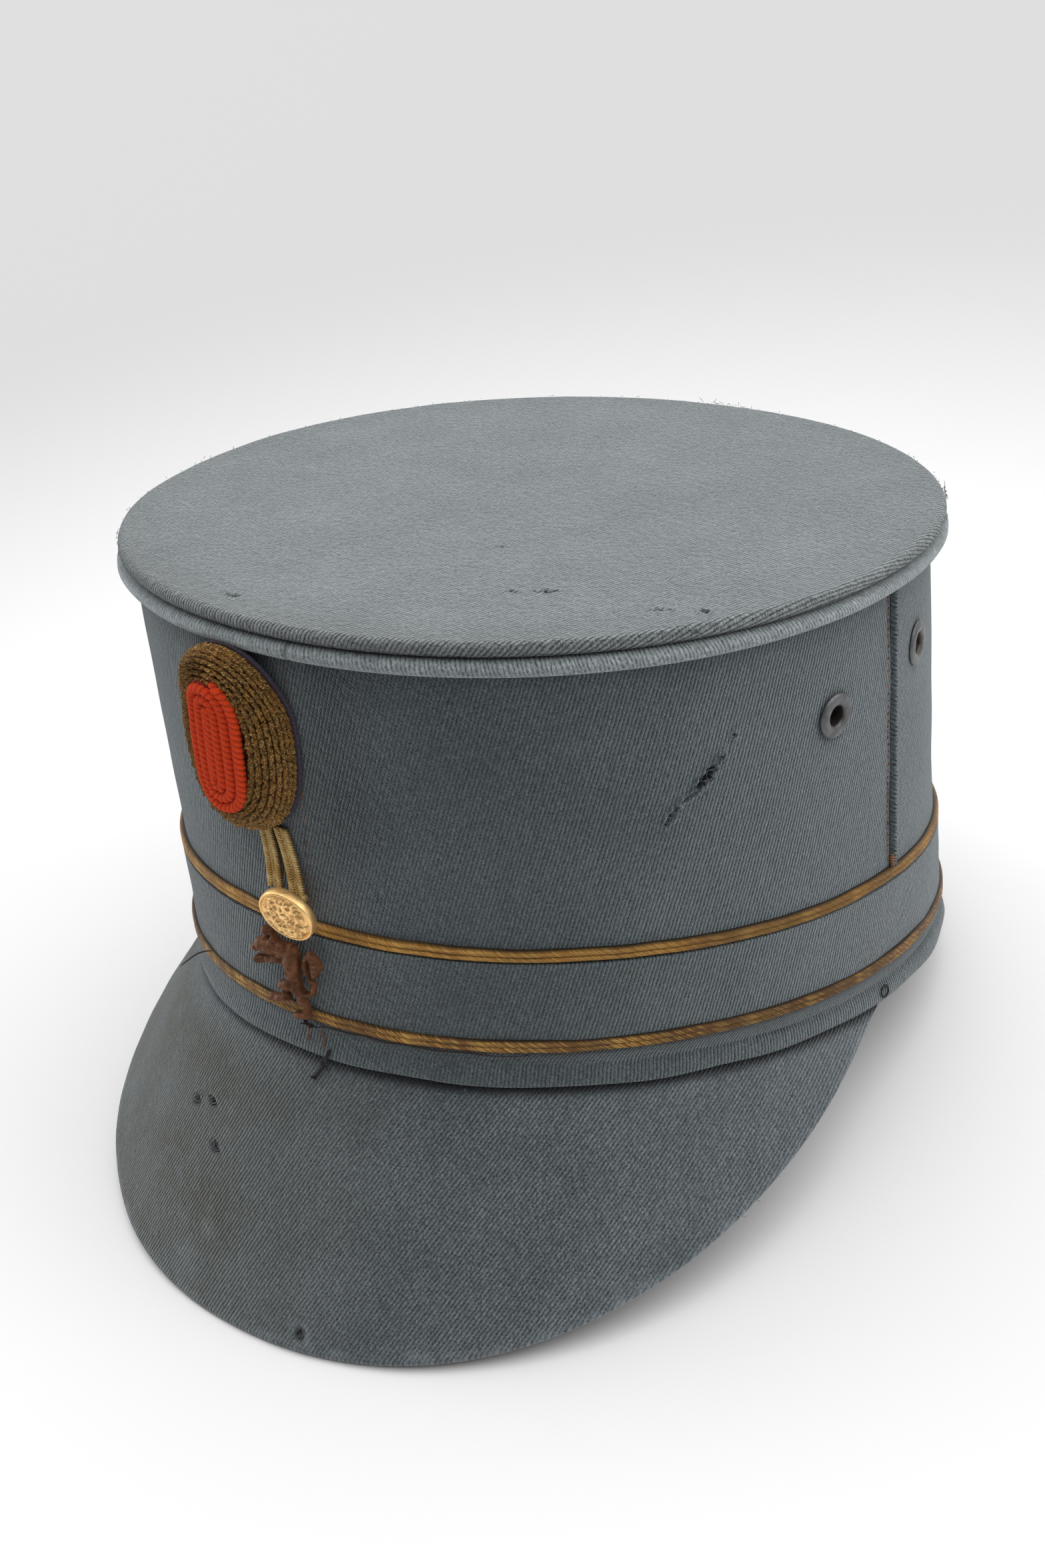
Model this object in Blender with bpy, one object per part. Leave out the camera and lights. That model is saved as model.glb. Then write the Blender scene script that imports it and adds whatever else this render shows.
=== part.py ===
"""Field kepi: an oval crown on a tall cloth wall, two gold braids, a drooping visor and its ornaments.

The hat is modelled about its head opening: the rim lies in the plane z = 0, the front faces -Y and the
wearer's left is +X. A parent empty then lays it down as it rests by itself, on the edge of its visor and
the back of its rim, with the middle of its outline over the origin. All sizes are in metres.
"""

import math

import bmesh
import bpy
from mathutils import Matrix, Vector

# Clearances between sewn or riveted neighbours
GAP = 0.0003

# Rim of the head opening, at the outer face of the band
RIM_HALF_LENGTH = 0.1005
RIM_HALF_WIDTH = 0.0860
RIM_NARROWING = 0.03
RIM_FULLNESS = 2.05

# Crown, where the wall meets the disc
CROWN_HALF_LENGTH = 0.0920
CROWN_HALF_WIDTH = 0.0880
CROWN_NARROWING = 0.01
CROWN_FULLNESS = 2.07
CROWN_FORWARD = 0.0212
CROWN_HEIGHT = 0.1059
CROWN_SLOPE = math.radians(4.5)
DISC_THICKNESS = 0.0032
DISC_OVERHANG = 0.0039
WELT_WIDTH = 0.0042
WELT_DEPTH = 0.0026

# Cloth of the wall and band
WALL_THICKNESS = 0.0020
BAND_THICKNESS = 0.0010

# Braids, with their middles measured up the wall from the rim
BRAID_WIDTH = 0.0030
UPPER_BRAID_HEIGHT = 0.0325
UPPER_BRAID_DEPTH = 0.0020
LOWER_BRAID_HEIGHT = 0.0104
LOWER_BRAID_DEPTH = 0.0015

# Side seams, as an angle from the middle of the front
SEAM_ANGLE = math.radians(96.0)
SEAM_WIDTH = 0.0022
SEAM_DEPTH = 0.0013

# Visor
VISOR_LENGTH = 0.0635
VISOR_THICKNESS = 0.0026
VISOR_HALF_SPAN = math.radians(92.4)
VISOR_FRONT_SLOPE = math.radians(67.8)
VISOR_SIDE_SLOPE = math.radians(45.8)
VISOR_SPREAD = 0.85
VISOR_FULLNESS = 2.46
VISOR_TAPER = 1.4

# Vent eyelets: angle from the middle of the front and height up the wall
EYELET_FLANGE_RADIUS = 0.0051
EYELET_FLANGE_HEIGHT = 0.0010
EYELET_BORE_RADIUS = 0.0022
EYELET_BARREL_RADIUS = 0.0028
EYELET_CURL_RADIUS = 0.0037
EYELET_CURL_HEIGHT = 0.0006
EYELET_PLACES = {
    "front": (math.radians(82.7), 0.0797),
    "back": (math.radians(104.5), 0.0875),
}

# Cockade
COCKADE_SIDE = -0.0048
COCKADE_HALF_WIDTH = 0.0150
COCKADE_HALF_LENGTH = 0.0207
COCKADE_RISE = 0.0056
COCKADE_FULLNESS = 2.25
BACKING_THICKNESS = 0.0010
BACKING_MARGIN = 0.0005
CENTRE_HALF_WIDTH = 0.0092
CENTRE_HALF_LENGTH = 0.0152
CENTRE_RISE = 0.0024

# Loop of flat braid from the cockade down to the button, each leg by its sides at the top and at the end
LOOP_WIDTH = 0.0040
LOOP_DEPTH = 0.0012
LOOP_LIFT = 0.0022
LOOP_SIDES = {"right": (-0.0027, 0.0004), "left": (0.0019, 0.0066)}

# Button
BUTTON_SIDE = 0.0058
BUTTON_ABOVE_BRAID = 0.0071
BUTTON_RADIUS = 0.0067
BUTTON_THICKNESS = 0.0026
BUTTON_DOME = 0.0005
BUTTON_STAND = 0.0042
SHANK_RADIUS = 0.0015
BUTTON_TURN = math.radians(3.0)
BUTTON_TILT = math.radians(15.0)

# Badge
LION_SIDE = 0.0015
LION_HEIGHT = 0.0190
LION_SIZE = 0.0220
LION_THICKNESS = 0.0022
LION_GRAIN = 0.00045
LION_FACES_KEPT = 0.16

# The lion's limbs as tapered rods: each end's place and radius, as shares of the badge's size
LION_LIMBS = (
    # side, up, far side, far up, radius, far radius
    (0.12, 0.34, 0.12, 0.02, 0.125, 0.085),
    (0.12, 0.02, 0.17, -0.10, 0.085, 0.085),
    (0.10, 0.35, -0.06, 0.36, 0.115, 0.100),
    (-0.06, 0.36, -0.26, 0.33, 0.100, 0.095),
    (-0.28, 0.31, -0.38, 0.27, 0.070, 0.045),
    (-0.22, 0.41, -0.19, 0.45, 0.040, 0.030),
    (-0.02, 0.38, -0.12, 0.50, 0.060, 0.045),
    (-0.12, 0.50, -0.20, 0.53, 0.050, 0.040),
    (-0.04, 0.24, -0.24, 0.17, 0.065, 0.045),
    (-0.24, 0.17, -0.35, 0.14, 0.045, 0.055),
    (0.10, -0.02, -0.04, -0.08, 0.080, 0.065),
    (-0.04, -0.08, 0.00, -0.20, 0.055, 0.040),
    (0.00, -0.21, -0.22, -0.27, 0.042, 0.045),
    (0.17, -0.10, 0.24, -0.22, 0.080, 0.050),
    (0.24, -0.22, 0.25, -0.32, 0.045, 0.040),
    (0.25, -0.34, 0.10, -0.38, 0.045, 0.045),
    (0.22, -0.10, 0.36, -0.06, 0.035, 0.030),
    (0.36, -0.06, 0.39, 0.07, 0.030, 0.030),
    (0.39, 0.07, 0.31, 0.14, 0.030, 0.030),
    (0.31, 0.14, 0.30, 0.31, 0.030, 0.030),
    (0.30, 0.31, 0.38, 0.41, 0.030, 0.035),
    (0.38, 0.41, 0.47, 0.35, 0.040, 0.050),
    (0.46, 0.30, 0.42, 0.18, 0.070, 0.035),
)

# Fineness of the facets
RING_STEPS = 72
VISOR_STEPS = 42
VISOR_ROWS = 4
ROUND_STEPS = 5
OVAL_STEPS = 28
TURNED_STEPS = 16
SMOOTH_ANGLE = math.radians(35.0)

WALL_SET_BACK = BAND_THICKNESS + GAP
WELT_DROP = WELT_WIDTH + 2.0 * GAP
BAND_TOP = UPPER_BRAID_HEIGHT - BRAID_WIDTH / 2.0 - GAP
BACKING_HALF_WIDTH = COCKADE_HALF_WIDTH + BACKING_MARGIN
BACKING_HALF_LENGTH = COCKADE_HALF_LENGTH + BACKING_MARGIN
BUTTON_HEIGHT = UPPER_BRAID_HEIGHT + BUTTON_ABOVE_BRAID
SHANK_LIFT = GAP + SHANK_RADIUS * math.sin(BUTTON_TILT)


def oval(half_length, half_width, narrowing, fullness, angle):
    """Point of an egg-shaped superellipse, by its angle from the front, -Y, towards +X."""
    side = math.copysign(abs(math.sin(angle)) ** (2.0 / fullness), math.sin(angle))
    ahead = math.copysign(abs(math.cos(angle)) ** (2.0 / fullness), math.cos(angle))
    return half_width * side * (1.0 - narrowing * math.cos(angle)), -half_length * ahead


def rim_point(angle, grow=0.0):
    """Point on the rim, grown outwards by grow."""
    x, y = oval(RIM_HALF_LENGTH + grow, RIM_HALF_WIDTH + grow, RIM_NARROWING, RIM_FULLNESS, angle)
    return Vector((x, y, 0.0))


def crown_point(angle, grow, rise):
    """Point in the sloping crown's own plane, grown outwards by grow and raised along its normal by rise."""
    x, y = oval(CROWN_HALF_LENGTH + grow, CROWN_HALF_WIDTH + grow, CROWN_NARROWING, CROWN_FULLNESS, angle)
    slope_cos = math.cos(CROWN_SLOPE)
    slope_sin = math.sin(CROWN_SLOPE)
    return Vector((
        x,
        y * slope_cos - rise * slope_sin - CROWN_FORWARD,
        y * slope_sin + rise * slope_cos + CROWN_HEIGHT,
    ))


def wall_ruling(angle):
    """Foot and head of the straight line that the wall's outer face follows at an angle."""
    return rim_point(angle, -WALL_SET_BACK), crown_point(angle, 0.0, -WELT_DROP)


def wall_axes(angle, height):
    """Point on the wall's outer face with the directions to the side, up the wall and outwards."""
    step = 0.001
    foot, head = wall_ruling(angle)
    up = (head - foot).normalized()
    point = foot + up * height
    next_foot, next_head = wall_ruling(angle + step)
    beside = next_foot + (next_head - next_foot).normalized() * height
    outward = (beside - point).cross(up).normalized()
    return point, up.cross(outward).normalized(), up, outward


def wall_point(angle, height, out=0.0):
    """Point on the wall, height up it from the rim and out from its outer face."""
    point, _, _, outward = wall_axes(angle, height)
    return point + outward * out


def wall_frame(angle, height, out=0.0):
    """Placement on the wall: X to the side, Y up the wall and Z outwards."""
    _, side, up, outward = wall_axes(angle, height)
    turn = Matrix((side, up, outward)).transposed().to_4x4()
    return Matrix.Translation(wall_point(angle, height, out)) @ turn


def front_angle(side, height):
    """Angle on the wall that lies a distance to the side of the middle of the front."""
    step = 0.02
    per_radian = (wall_point(step, height) - wall_point(-step, height)).length / (2.0 * step)
    return side / per_radian


def cockade_height():
    """Height of the cockade's middle, so that its backing reaches up to the welt."""
    foot, head = wall_ruling(0.0)
    return (head - foot).length - GAP - BACKING_HALF_LENGTH


def front_point(side, height, out):
    """Point on the front of the wall, by its distance to the side, its height and its stand-off."""
    return wall_point(front_angle(side, height), height, out)


def visor_length(share):
    """Length of the visor from the rim, by the share of its half span."""
    return VISOR_LENGTH * max(0.0, 1.0 - abs(share) ** VISOR_FULLNESS) ** VISOR_TAPER


def visor_slope(share):
    """Angle of the visor below the rim's plane, by the share of its half span."""
    return VISOR_FRONT_SLOPE + (VISOR_SIDE_SLOPE - VISOR_FRONT_SLOPE) * share * share


def visor_point(share, reach):
    """Point on the visor's upper face, reach down from the rim."""
    angle = share * VISOR_HALF_SPAN
    slope = visor_slope(share)
    heading = VISOR_SPREAD * angle
    outward = Vector((math.sin(heading), -math.cos(heading), 0.0))
    start = rim_point(angle) - Vector((0.0, 0.0, GAP))
    return start + (outward * math.cos(slope) - Vector((0.0, 0.0, math.sin(slope)))) * reach


def visor_normal(share, reach):
    """Upward normal of the visor's upper face."""
    step = 0.002
    down = visor_point(share, reach + step) - visor_point(share, reach)
    across = visor_point(share + step, reach) - visor_point(share - step, reach)
    return across.cross(down).normalized() * -1.0


def visor_section(share):
    """Closed section of the visor: a lip under the wall, the sloping leaf and its rounded edge."""
    angle = share * VISOR_HALF_SPAN
    slope = visor_slope(share)
    length = visor_length(share)
    lip_top = rim_point(angle, -WALL_SET_BACK - WALL_THICKNESS) - Vector((0.0, 0.0, GAP))
    lip_down = Vector((0.0, 0.0, VISOR_THICKNESS))
    mitre = rim_point(angle, -VISOR_THICKNESS * math.tan(slope / 2.0)) - Vector((0.0, 0.0, GAP))
    reaches = [length * row / VISOR_ROWS for row in range(VISOR_ROWS + 1)]
    upper = [visor_point(share, reach) for reach in reaches]
    lower = [point - visor_normal(share, reach) * VISOR_THICKNESS for point, reach in zip(upper, reaches)]
    rounding = VISOR_THICKNESS * 0.35
    edge_way = (visor_point(share, length + rounding) - upper[-1]) * (length / VISOR_LENGTH)
    edge = (upper[-1] + lower[-1]) / 2.0 + edge_way
    return [lip_top] + upper + [edge] + lower[:0:-1] + [mitre - lip_down, lip_top - lip_down]


def rest_pitch():
    """Angle by which the hat leans back when it rests on its visor's edge and the back of its rim."""
    back = rim_point(math.pi)
    steps = [-1.0 + 2.0 * index / VISOR_STEPS for index in range(VISOR_STEPS + 1)]
    points = [point for share in steps for point in visor_section(share)]
    return max(math.atan2(-point.z, back.y - point.y) for point in points)


def half_round(back, depth, centre, width):
    """Half-round profile on a flat back, as distances outwards and upwards."""
    turns = [math.pi * (index / ROUND_STEPS - 0.5) for index in range(ROUND_STEPS + 1)]
    return [(back + depth * math.cos(turn), centre + width / 2.0 * math.sin(turn)) for turn in turns]


def make_object(name, mesh, material, pivot, placement=None):
    """Links a mesh under the pivot, shaded smooth with its sharp edges kept."""
    mesh.materials.append(material)
    mesh.shade_smooth()
    mesh.set_sharp_from_angle(angle=SMOOTH_ANGLE)
    piece = bpy.data.objects.new(name, mesh)
    bpy.context.scene.collection.objects.link(piece)
    piece.parent = pivot
    if placement is not None:
        piece.matrix_local = placement
    return piece


def loft_mesh(name, sections, closed):
    """Skins closed sections of equal length into one solid, capped at its ends unless it closes on itself."""
    work = bmesh.new()
    rows = [[work.verts.new(point) for point in section] for section in sections]
    count = len(rows[0])
    for index in range(len(rows) if closed else len(rows) - 1):
        here = rows[index]
        there = rows[(index + 1) % len(rows)]
        for corner in range(count):
            after = (corner + 1) % count
            work.faces.new((here[corner], here[after], there[after], there[corner]))
    if not closed:
        work.faces.new(rows[0])
        work.faces.new(rows[-1])
    bmesh.ops.recalc_face_normals(work, faces=work.faces)
    mesh = bpy.data.meshes.new(name)
    work.to_mesh(mesh)
    work.free()
    return mesh


def ring_angles():
    """Angles of the stations that every ring round the hat shares."""
    return [2.0 * math.pi * index / RING_STEPS for index in range(RING_STEPS)]


def wall_ring(name, profile):
    """Ring round the wall with a profile of distances outwards and upwards."""
    sections = [[wall_point(angle, height, out) for out, height in profile] for angle in ring_angles()]
    return loft_mesh(name, sections, closed=True)


def turned_mesh(name, profile):
    """Closed profile of radii and heights turned about Z into a ring."""
    sections = []
    for index in range(TURNED_STEPS):
        turn = 2.0 * math.pi * index / TURNED_STEPS
        sections.append([Vector((r * math.cos(turn), r * math.sin(turn), z)) for r, z in profile])
    return loft_mesh(name, sections, closed=True)


def finish(name, colour, roughness, metallic=0.0):
    """Principled material of one piece."""
    material = bpy.data.materials.new(name)
    material.use_nodes = True
    shader = material.node_tree.nodes["Principled BSDF"]
    shader.inputs["Base Color"].default_value = (*colour, 1.0)
    shader.inputs["Roughness"].default_value = roughness
    shader.inputs["Metallic"].default_value = metallic
    return material


def make_crown_disc(pivot):
    """Flat cloth-covered disc with a rolled edge."""
    radius = DISC_THICKNESS / 2.0
    roll = half_round(DISC_OVERHANG - radius, radius, radius, DISC_THICKNESS)
    rings = [[crown_point(angle, grow, rise) for angle in ring_angles()] for grow, rise in roll]
    cloth = finish("crown_cloth", (0.20, 0.25, 0.30), 0.92)
    make_object("crown_disc", loft_mesh("crown_disc", rings, closed=False), cloth, pivot)


def make_crown_welt(pivot):
    """Cloth-covered cord under the disc, flat against the wall."""
    profile = half_round(GAP, WELT_DEPTH, -GAP - WELT_WIDTH / 2.0, WELT_WIDTH)
    sections = [[crown_point(angle, grow, rise) for grow, rise in profile] for angle in ring_angles()]
    cloth = finish("welt_cloth", (0.17, 0.22, 0.27), 0.92)
    make_object("crown_welt", loft_mesh("crown_welt", sections, closed=True), cloth, pivot)


def make_body_wall(pivot):
    """Hollow wall from the rim to the disc, with a hole for each eyelet."""
    sections = []
    for angle in ring_angles():
        inner_foot = rim_point(angle, -WALL_SET_BACK - WALL_THICKNESS)
        inner_head = crown_point(angle, -WALL_THICKNESS, -WELT_DROP)
        sections.append([
            wall_point(angle, 0.0),
            wall_point(angle, UPPER_BRAID_HEIGHT),
            wall_ruling(angle)[1],
            crown_point(angle, 0.0, -GAP),
            crown_point(angle, -WALL_THICKNESS, -GAP),
            inner_head,
            inner_foot,
        ])
    cloth = finish("wall_cloth", (0.18, 0.23, 0.28), 0.92)
    wall = make_object("body_wall", loft_mesh("body_wall", sections, closed=True), cloth, pivot)
    for key, angle, height in eyelet_places():
        cutter = make_cutter(f"{key}_hole", EYELET_BARREL_RADIUS + GAP, wall_frame(angle, height), pivot)
        hole = wall.modifiers.new(key, "BOOLEAN")
        hole.object = cutter
        hole.operation = "DIFFERENCE"
        hole.solver = "EXACT"


def make_cutter(name, radius, placement, pivot):
    """Round cutter through the wall, left out of the finished hat."""
    work = bmesh.new()
    depth = 4.0 * WALL_THICKNESS
    bmesh.ops.create_cone(
        work, cap_ends=True, segments=TURNED_STEPS, radius1=radius, radius2=radius, depth=depth
    )
    mesh = bpy.data.meshes.new(name)
    work.to_mesh(mesh)
    work.free()
    cutter = bpy.data.objects.new(name, mesh)
    bpy.context.scene.collection.objects.link(cutter)
    cutter.parent = pivot
    cutter.matrix_local = placement
    cutter.hide_render = True
    cutter.display_type = "WIRE"
    return cutter


def make_hat_band(pivot):
    """Cloth band round the lower wall, under the upper braid."""
    inner = GAP
    outer = GAP + BAND_THICKNESS
    profile = [(outer, 0.0), (outer, BAND_TOP), (inner, BAND_TOP), (inner, 0.0)]
    cloth = finish("band_cloth", (0.16, 0.21, 0.26), 0.92)
    make_object("hat_band", wall_ring("hat_band", profile), cloth, pivot)


def make_braids(pivot):
    """Upper braid on the band's top edge and lower braid on its face."""
    places = {
        "upper_braid": (GAP, UPPER_BRAID_DEPTH, UPPER_BRAID_HEIGHT),
        "lower_braid": (2.0 * GAP + BAND_THICKNESS, LOWER_BRAID_DEPTH, LOWER_BRAID_HEIGHT),
    }
    for name, (back, depth, height) in places.items():
        gold = finish(f"{name}_gold", (0.42, 0.29, 0.10), 0.55, 0.35)
        profile = half_round(back, depth, height, BRAID_WIDTH)
        make_object(name, wall_ring(name, profile), gold, pivot)


def make_side_seams(pivot):
    """Raised seam cord on each side, from the upper braid to the welt."""
    low = UPPER_BRAID_HEIGHT + BRAID_WIDTH / 2.0 + GAP
    for name, angle in (("side_seam_left", SEAM_ANGLE), ("side_seam_right", -SEAM_ANGLE)):
        foot, head = wall_ruling(angle)
        high = (head - foot).length
        placements = [wall_frame(angle, low + (high - low) * share) for share in (0.0, 0.5, 1.0)]
        profile = [Vector((side, 0.0, out)) for out, side in half_round(GAP, SEAM_DEPTH, 0.0, SEAM_WIDTH)]
        sections = [[placement @ point for point in profile] for placement in placements]
        cord = finish(f"{name}_cord", (0.10, 0.12, 0.14), 0.85)
        make_object(name, loft_mesh(name, sections, closed=False), cord, pivot)


def make_visor(pivot):
    """Drooping leaf sewn under the front of the rim."""
    shares = [-1.0 + 2.0 * index / VISOR_STEPS for index in range(VISOR_STEPS + 1)]
    sections = [visor_section(share) for share in shares]
    cloth = finish("visor_cloth", (0.17, 0.21, 0.25), 0.92)
    make_object("visor", loft_mesh("visor", sections, closed=False), cloth, pivot)


def eyelet_places():
    """Name, angle and height of each eyelet, on both sides of the hat."""
    places = []
    for side, sign in (("left", 1.0), ("right", -1.0)):
        for end, (angle, height) in EYELET_PLACES.items():
            places.append((f"eyelet_{side}_{end}", sign * angle, height))
    return places


def make_eyelets(pivot):
    """Rolled metal eyelets: a flange outside, a barrel through the wall and a curl inside."""
    back = -WALL_THICKNESS - GAP
    top = GAP + EYELET_FLANGE_HEIGHT
    easing = EYELET_FLANGE_HEIGHT / 2.0
    profile = [
        (EYELET_BORE_RADIUS, back - EYELET_CURL_HEIGHT),
        (EYELET_CURL_RADIUS, back - EYELET_CURL_HEIGHT),
        (EYELET_CURL_RADIUS, back),
        (EYELET_BARREL_RADIUS, back),
        (EYELET_BARREL_RADIUS, GAP),
        (EYELET_FLANGE_RADIUS, GAP),
        (EYELET_FLANGE_RADIUS - easing, top),
        (EYELET_BARREL_RADIUS, top),
        (EYELET_BORE_RADIUS, top - easing),
    ]
    for name, angle, height in eyelet_places():
        steel = finish(f"{name}_metal", (0.24, 0.25, 0.25), 0.45, 0.85)
        make_object(name, turned_mesh(name, profile), steel, pivot, wall_frame(angle, height))


def cockade_ring(half_width, half_length, inset, out):
    """Oval ring of the cockade, bent round the front of the wall."""
    middle = cockade_height()
    points = []
    for index in range(OVAL_STEPS):
        turn = 2.0 * math.pi * index / OVAL_STEPS
        across, along = oval(half_length - inset, half_width - inset, 0.0, COCKADE_FULLNESS, turn)
        points.append(front_point(COCKADE_SIDE + across, middle - along, out))
    return points


def cockade_piece(name, half_width, half_length, low, profile):
    """Domed oval solid: rings inwards along its back at low, then outwards to in along its profile."""
    backs = [half_width * share for share in (0.9, 0.6, 0.3)]
    rings = [cockade_ring(half_width, half_length, inset, low) for inset in backs]
    rings += [cockade_ring(half_width, half_length, inset, out) for inset, out in profile]
    return loft_mesh(name, rings, closed=False)


def make_cockade(pivot):
    """Cockade: cloth backing, gold domed rosette and orange cord centre."""
    backing_top = GAP + BACKING_THICKNESS
    flat = [(0.0, GAP), (0.0, backing_top)]
    flat += [(BACKING_HALF_WIDTH * share, backing_top) for share in (0.3, 0.6, 0.9)]
    backing = cockade_piece("cockade_backing", BACKING_HALF_WIDTH, BACKING_HALF_LENGTH, GAP, flat)
    make_object("cockade_backing", backing, finish("backing_cloth", (0.07, 0.06, 0.08), 0.9), pivot)

    low = backing_top + GAP
    inset = COCKADE_HALF_WIDTH - CENTRE_HALF_WIDTH
    dome = [(0.0, low)]
    for share in (0.0, 0.12, 0.3, 0.6, 1.0):
        dome.append((inset * share, low + COCKADE_RISE * (0.2 + 0.8 * math.sqrt(share * (2.0 - share)))))
    summit = low + COCKADE_RISE
    dome += [(inset + CENTRE_HALF_WIDTH * share, summit) for share in (0.5, 0.9)]
    rosette = cockade_piece("cockade_rosette", COCKADE_HALF_WIDTH, COCKADE_HALF_LENGTH, low, dome)
    make_object("cockade_rosette", rosette, finish("rosette_gold", (0.26, 0.16, 0.05), 0.5, 0.4), pivot)

    low = summit + GAP
    bulge = [(0.0, low)]
    for share in (0.0, 0.15, 0.45, 0.9):
        bulge.append((CENTRE_HALF_WIDTH * share, low + CENTRE_RISE * (0.45 + 0.55 * math.sqrt(share))))
    centre = cockade_piece("cockade_centre", CENTRE_HALF_WIDTH, CENTRE_HALF_LENGTH, low, bulge)
    make_object("cockade_centre", centre, finish("centre_orange", (0.72, 0.10, 0.02), 0.7), pivot)


def backing_foot(side):
    """Height of the backing's lower edge above the rim, at a distance to the side."""
    share = min(1.0, abs(side - COCKADE_SIDE) / BACKING_HALF_WIDTH)
    drop = BACKING_HALF_LENGTH * (1.0 - share ** COCKADE_FULLNESS) ** (1.0 / COCKADE_FULLNESS)
    return cockade_height() - drop


def make_loop_cords(pivot):
    """Two legs of the flat braid loop, rising off the wall from the cockade down to the button's shank."""
    half = LOOP_WIDTH / 2.0
    end_height = BUTTON_HEIGHT + SHANK_RADIUS + 2.0 * GAP
    for key, (top_side, end_side) in LOOP_SIDES.items():
        name = f"loop_cord_{key}"
        nearest = min((top_side - half, top_side, top_side + half), key=backing_foot)
        top_height = backing_foot(nearest) - 2.0 * GAP
        sections = []
        for share in (0.0, 0.33, 0.67, 1.0):
            middle = end_side + (top_side - end_side) * share
            height = end_height + (top_height - end_height) * share
            profile = half_round(GAP + LOOP_LIFT * (1.0 - share) ** 2, LOOP_DEPTH, 0.0, LOOP_WIDTH)
            sections.append([front_point(middle + side, height, out) for out, side in profile])
        gold = finish(f"{name}_gold", (0.36, 0.24, 0.08), 0.5, 0.4)
        make_object(name, loft_mesh(name, sections, closed=False), gold, pivot)


def make_button(pivot):
    """Domed button on a shank, tipped by the pull of its loop."""
    under = BUTTON_STAND
    edge = under + BUTTON_THICKNESS
    profile = [
        (SHANK_RADIUS, 0.0),
        (SHANK_RADIUS, under),
        (BUTTON_RADIUS * 0.93, under),
        (BUTTON_RADIUS, under + BUTTON_THICKNESS * 0.4),
        (BUTTON_RADIUS, edge - BUTTON_THICKNESS * 0.2),
        (BUTTON_RADIUS * 0.94, edge),
        (BUTTON_RADIUS * 0.86, edge - BUTTON_THICKNESS * 0.15),
        (BUTTON_RADIUS * 0.45, edge + BUTTON_DOME * 0.75),
        (BUTTON_RADIUS * 0.05, edge + BUTTON_DOME),
    ]
    rings = []
    for radius, height in profile:
        turns = [2.0 * math.pi * index / OVAL_STEPS for index in range(OVAL_STEPS)]
        rings.append([Vector((radius * math.cos(turn), radius * math.sin(turn), height)) for turn in turns])
    gold = finish("button_gold", (0.62, 0.45, 0.22), 0.35, 0.9)
    angle = front_angle(BUTTON_SIDE, BUTTON_HEIGHT)
    lean = Matrix.Rotation(BUTTON_TURN, 4, "Y") @ Matrix.Rotation(BUTTON_TILT, 4, "X")
    placement = wall_frame(angle, BUTTON_HEIGHT, SHANK_LIFT) @ lean
    make_object("button", loft_mesh("button", rings, closed=False), gold, pivot, placement)


def limb_mesh(work, start, end, start_radius, end_radius):
    """Adds one rod with round ends to the lion, as a hull round a ball at each end."""
    corners = []
    for centre, radius in ((start, start_radius), (end, end_radius)):
        ball = bmesh.ops.create_uvsphere(work, u_segments=12, v_segments=8, radius=radius)
        bmesh.ops.translate(work, verts=ball["verts"], vec=centre)
        corners += ball["verts"]
    hull = bmesh.ops.convex_hull(work, input=corners)
    inside = [item for item in hull["geom_interior"] if isinstance(item, bmesh.types.BMVert)]
    bmesh.ops.delete(work, geom=inside, context="VERTS")


def make_lion_badge(pivot):
    """Rampant lion in low relief with a flat back, clear of the lower braid that it hangs over."""
    pieces = bmesh.new()
    for side, up, far_side, far_up, radius, far_radius in LION_LIMBS:
        limb = bmesh.new()
        start = Vector((side, up, 0.0)) * LION_SIZE
        end = Vector((far_side, far_up, 0.0)) * LION_SIZE
        limb_mesh(limb, start, end, radius * LION_SIZE, far_radius * LION_SIZE)
        rod = bpy.data.meshes.new("limb")
        limb.to_mesh(rod)
        limb.free()
        pieces.from_mesh(rod)
        bpy.data.meshes.remove(rod)
    thickest = LION_SIZE * max(max(row[4:]) for row in LION_LIMBS)
    bmesh.ops.scale(pieces, verts=pieces.verts, vec=(1.0, 1.0, LION_THICKNESS / thickest))
    mesh = bpy.data.meshes.new("lion_badge")
    pieces.to_mesh(mesh)
    pieces.free()
    bronze = finish("badge_bronze", (0.07, 0.05, 0.045), 0.6, 0.6)
    stand_off = 3.0 * GAP + BAND_THICKNESS + LOWER_BRAID_DEPTH
    placement = wall_frame(front_angle(LION_SIDE, LION_HEIGHT), LION_HEIGHT, stand_off)
    lion = make_object("lion_badge", mesh, bronze, pivot, placement)
    union = lion.modifiers.new("union", "REMESH")
    union.mode = "VOXEL"
    union.voxel_size = LION_GRAIN
    union.adaptivity = 0.0
    back = make_back_cutter(placement, pivot)
    trim = lion.modifiers.new("flat_back", "BOOLEAN")
    trim.object = back
    trim.operation = "DIFFERENCE"
    trim.solver = "EXACT"
    thin = lion.modifiers.new("fewer_faces", "DECIMATE")
    thin.ratio = LION_FACES_KEPT


def make_back_cutter(placement, pivot):
    """Block that trims the badge's back flat, left out of the finished hat."""
    work = bmesh.new()
    bmesh.ops.create_cube(work, size=2.0 * LION_SIZE)
    bmesh.ops.translate(work, verts=work.verts, vec=(0.0, 0.0, -LION_SIZE))
    mesh = bpy.data.meshes.new("lion_back")
    work.to_mesh(mesh)
    work.free()
    cutter = bpy.data.objects.new("lion_back", mesh)
    bpy.context.scene.collection.objects.link(cutter)
    cutter.parent = pivot
    cutter.matrix_local = placement
    cutter.hide_render = True
    cutter.display_type = "WIRE"
    return cutter


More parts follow.
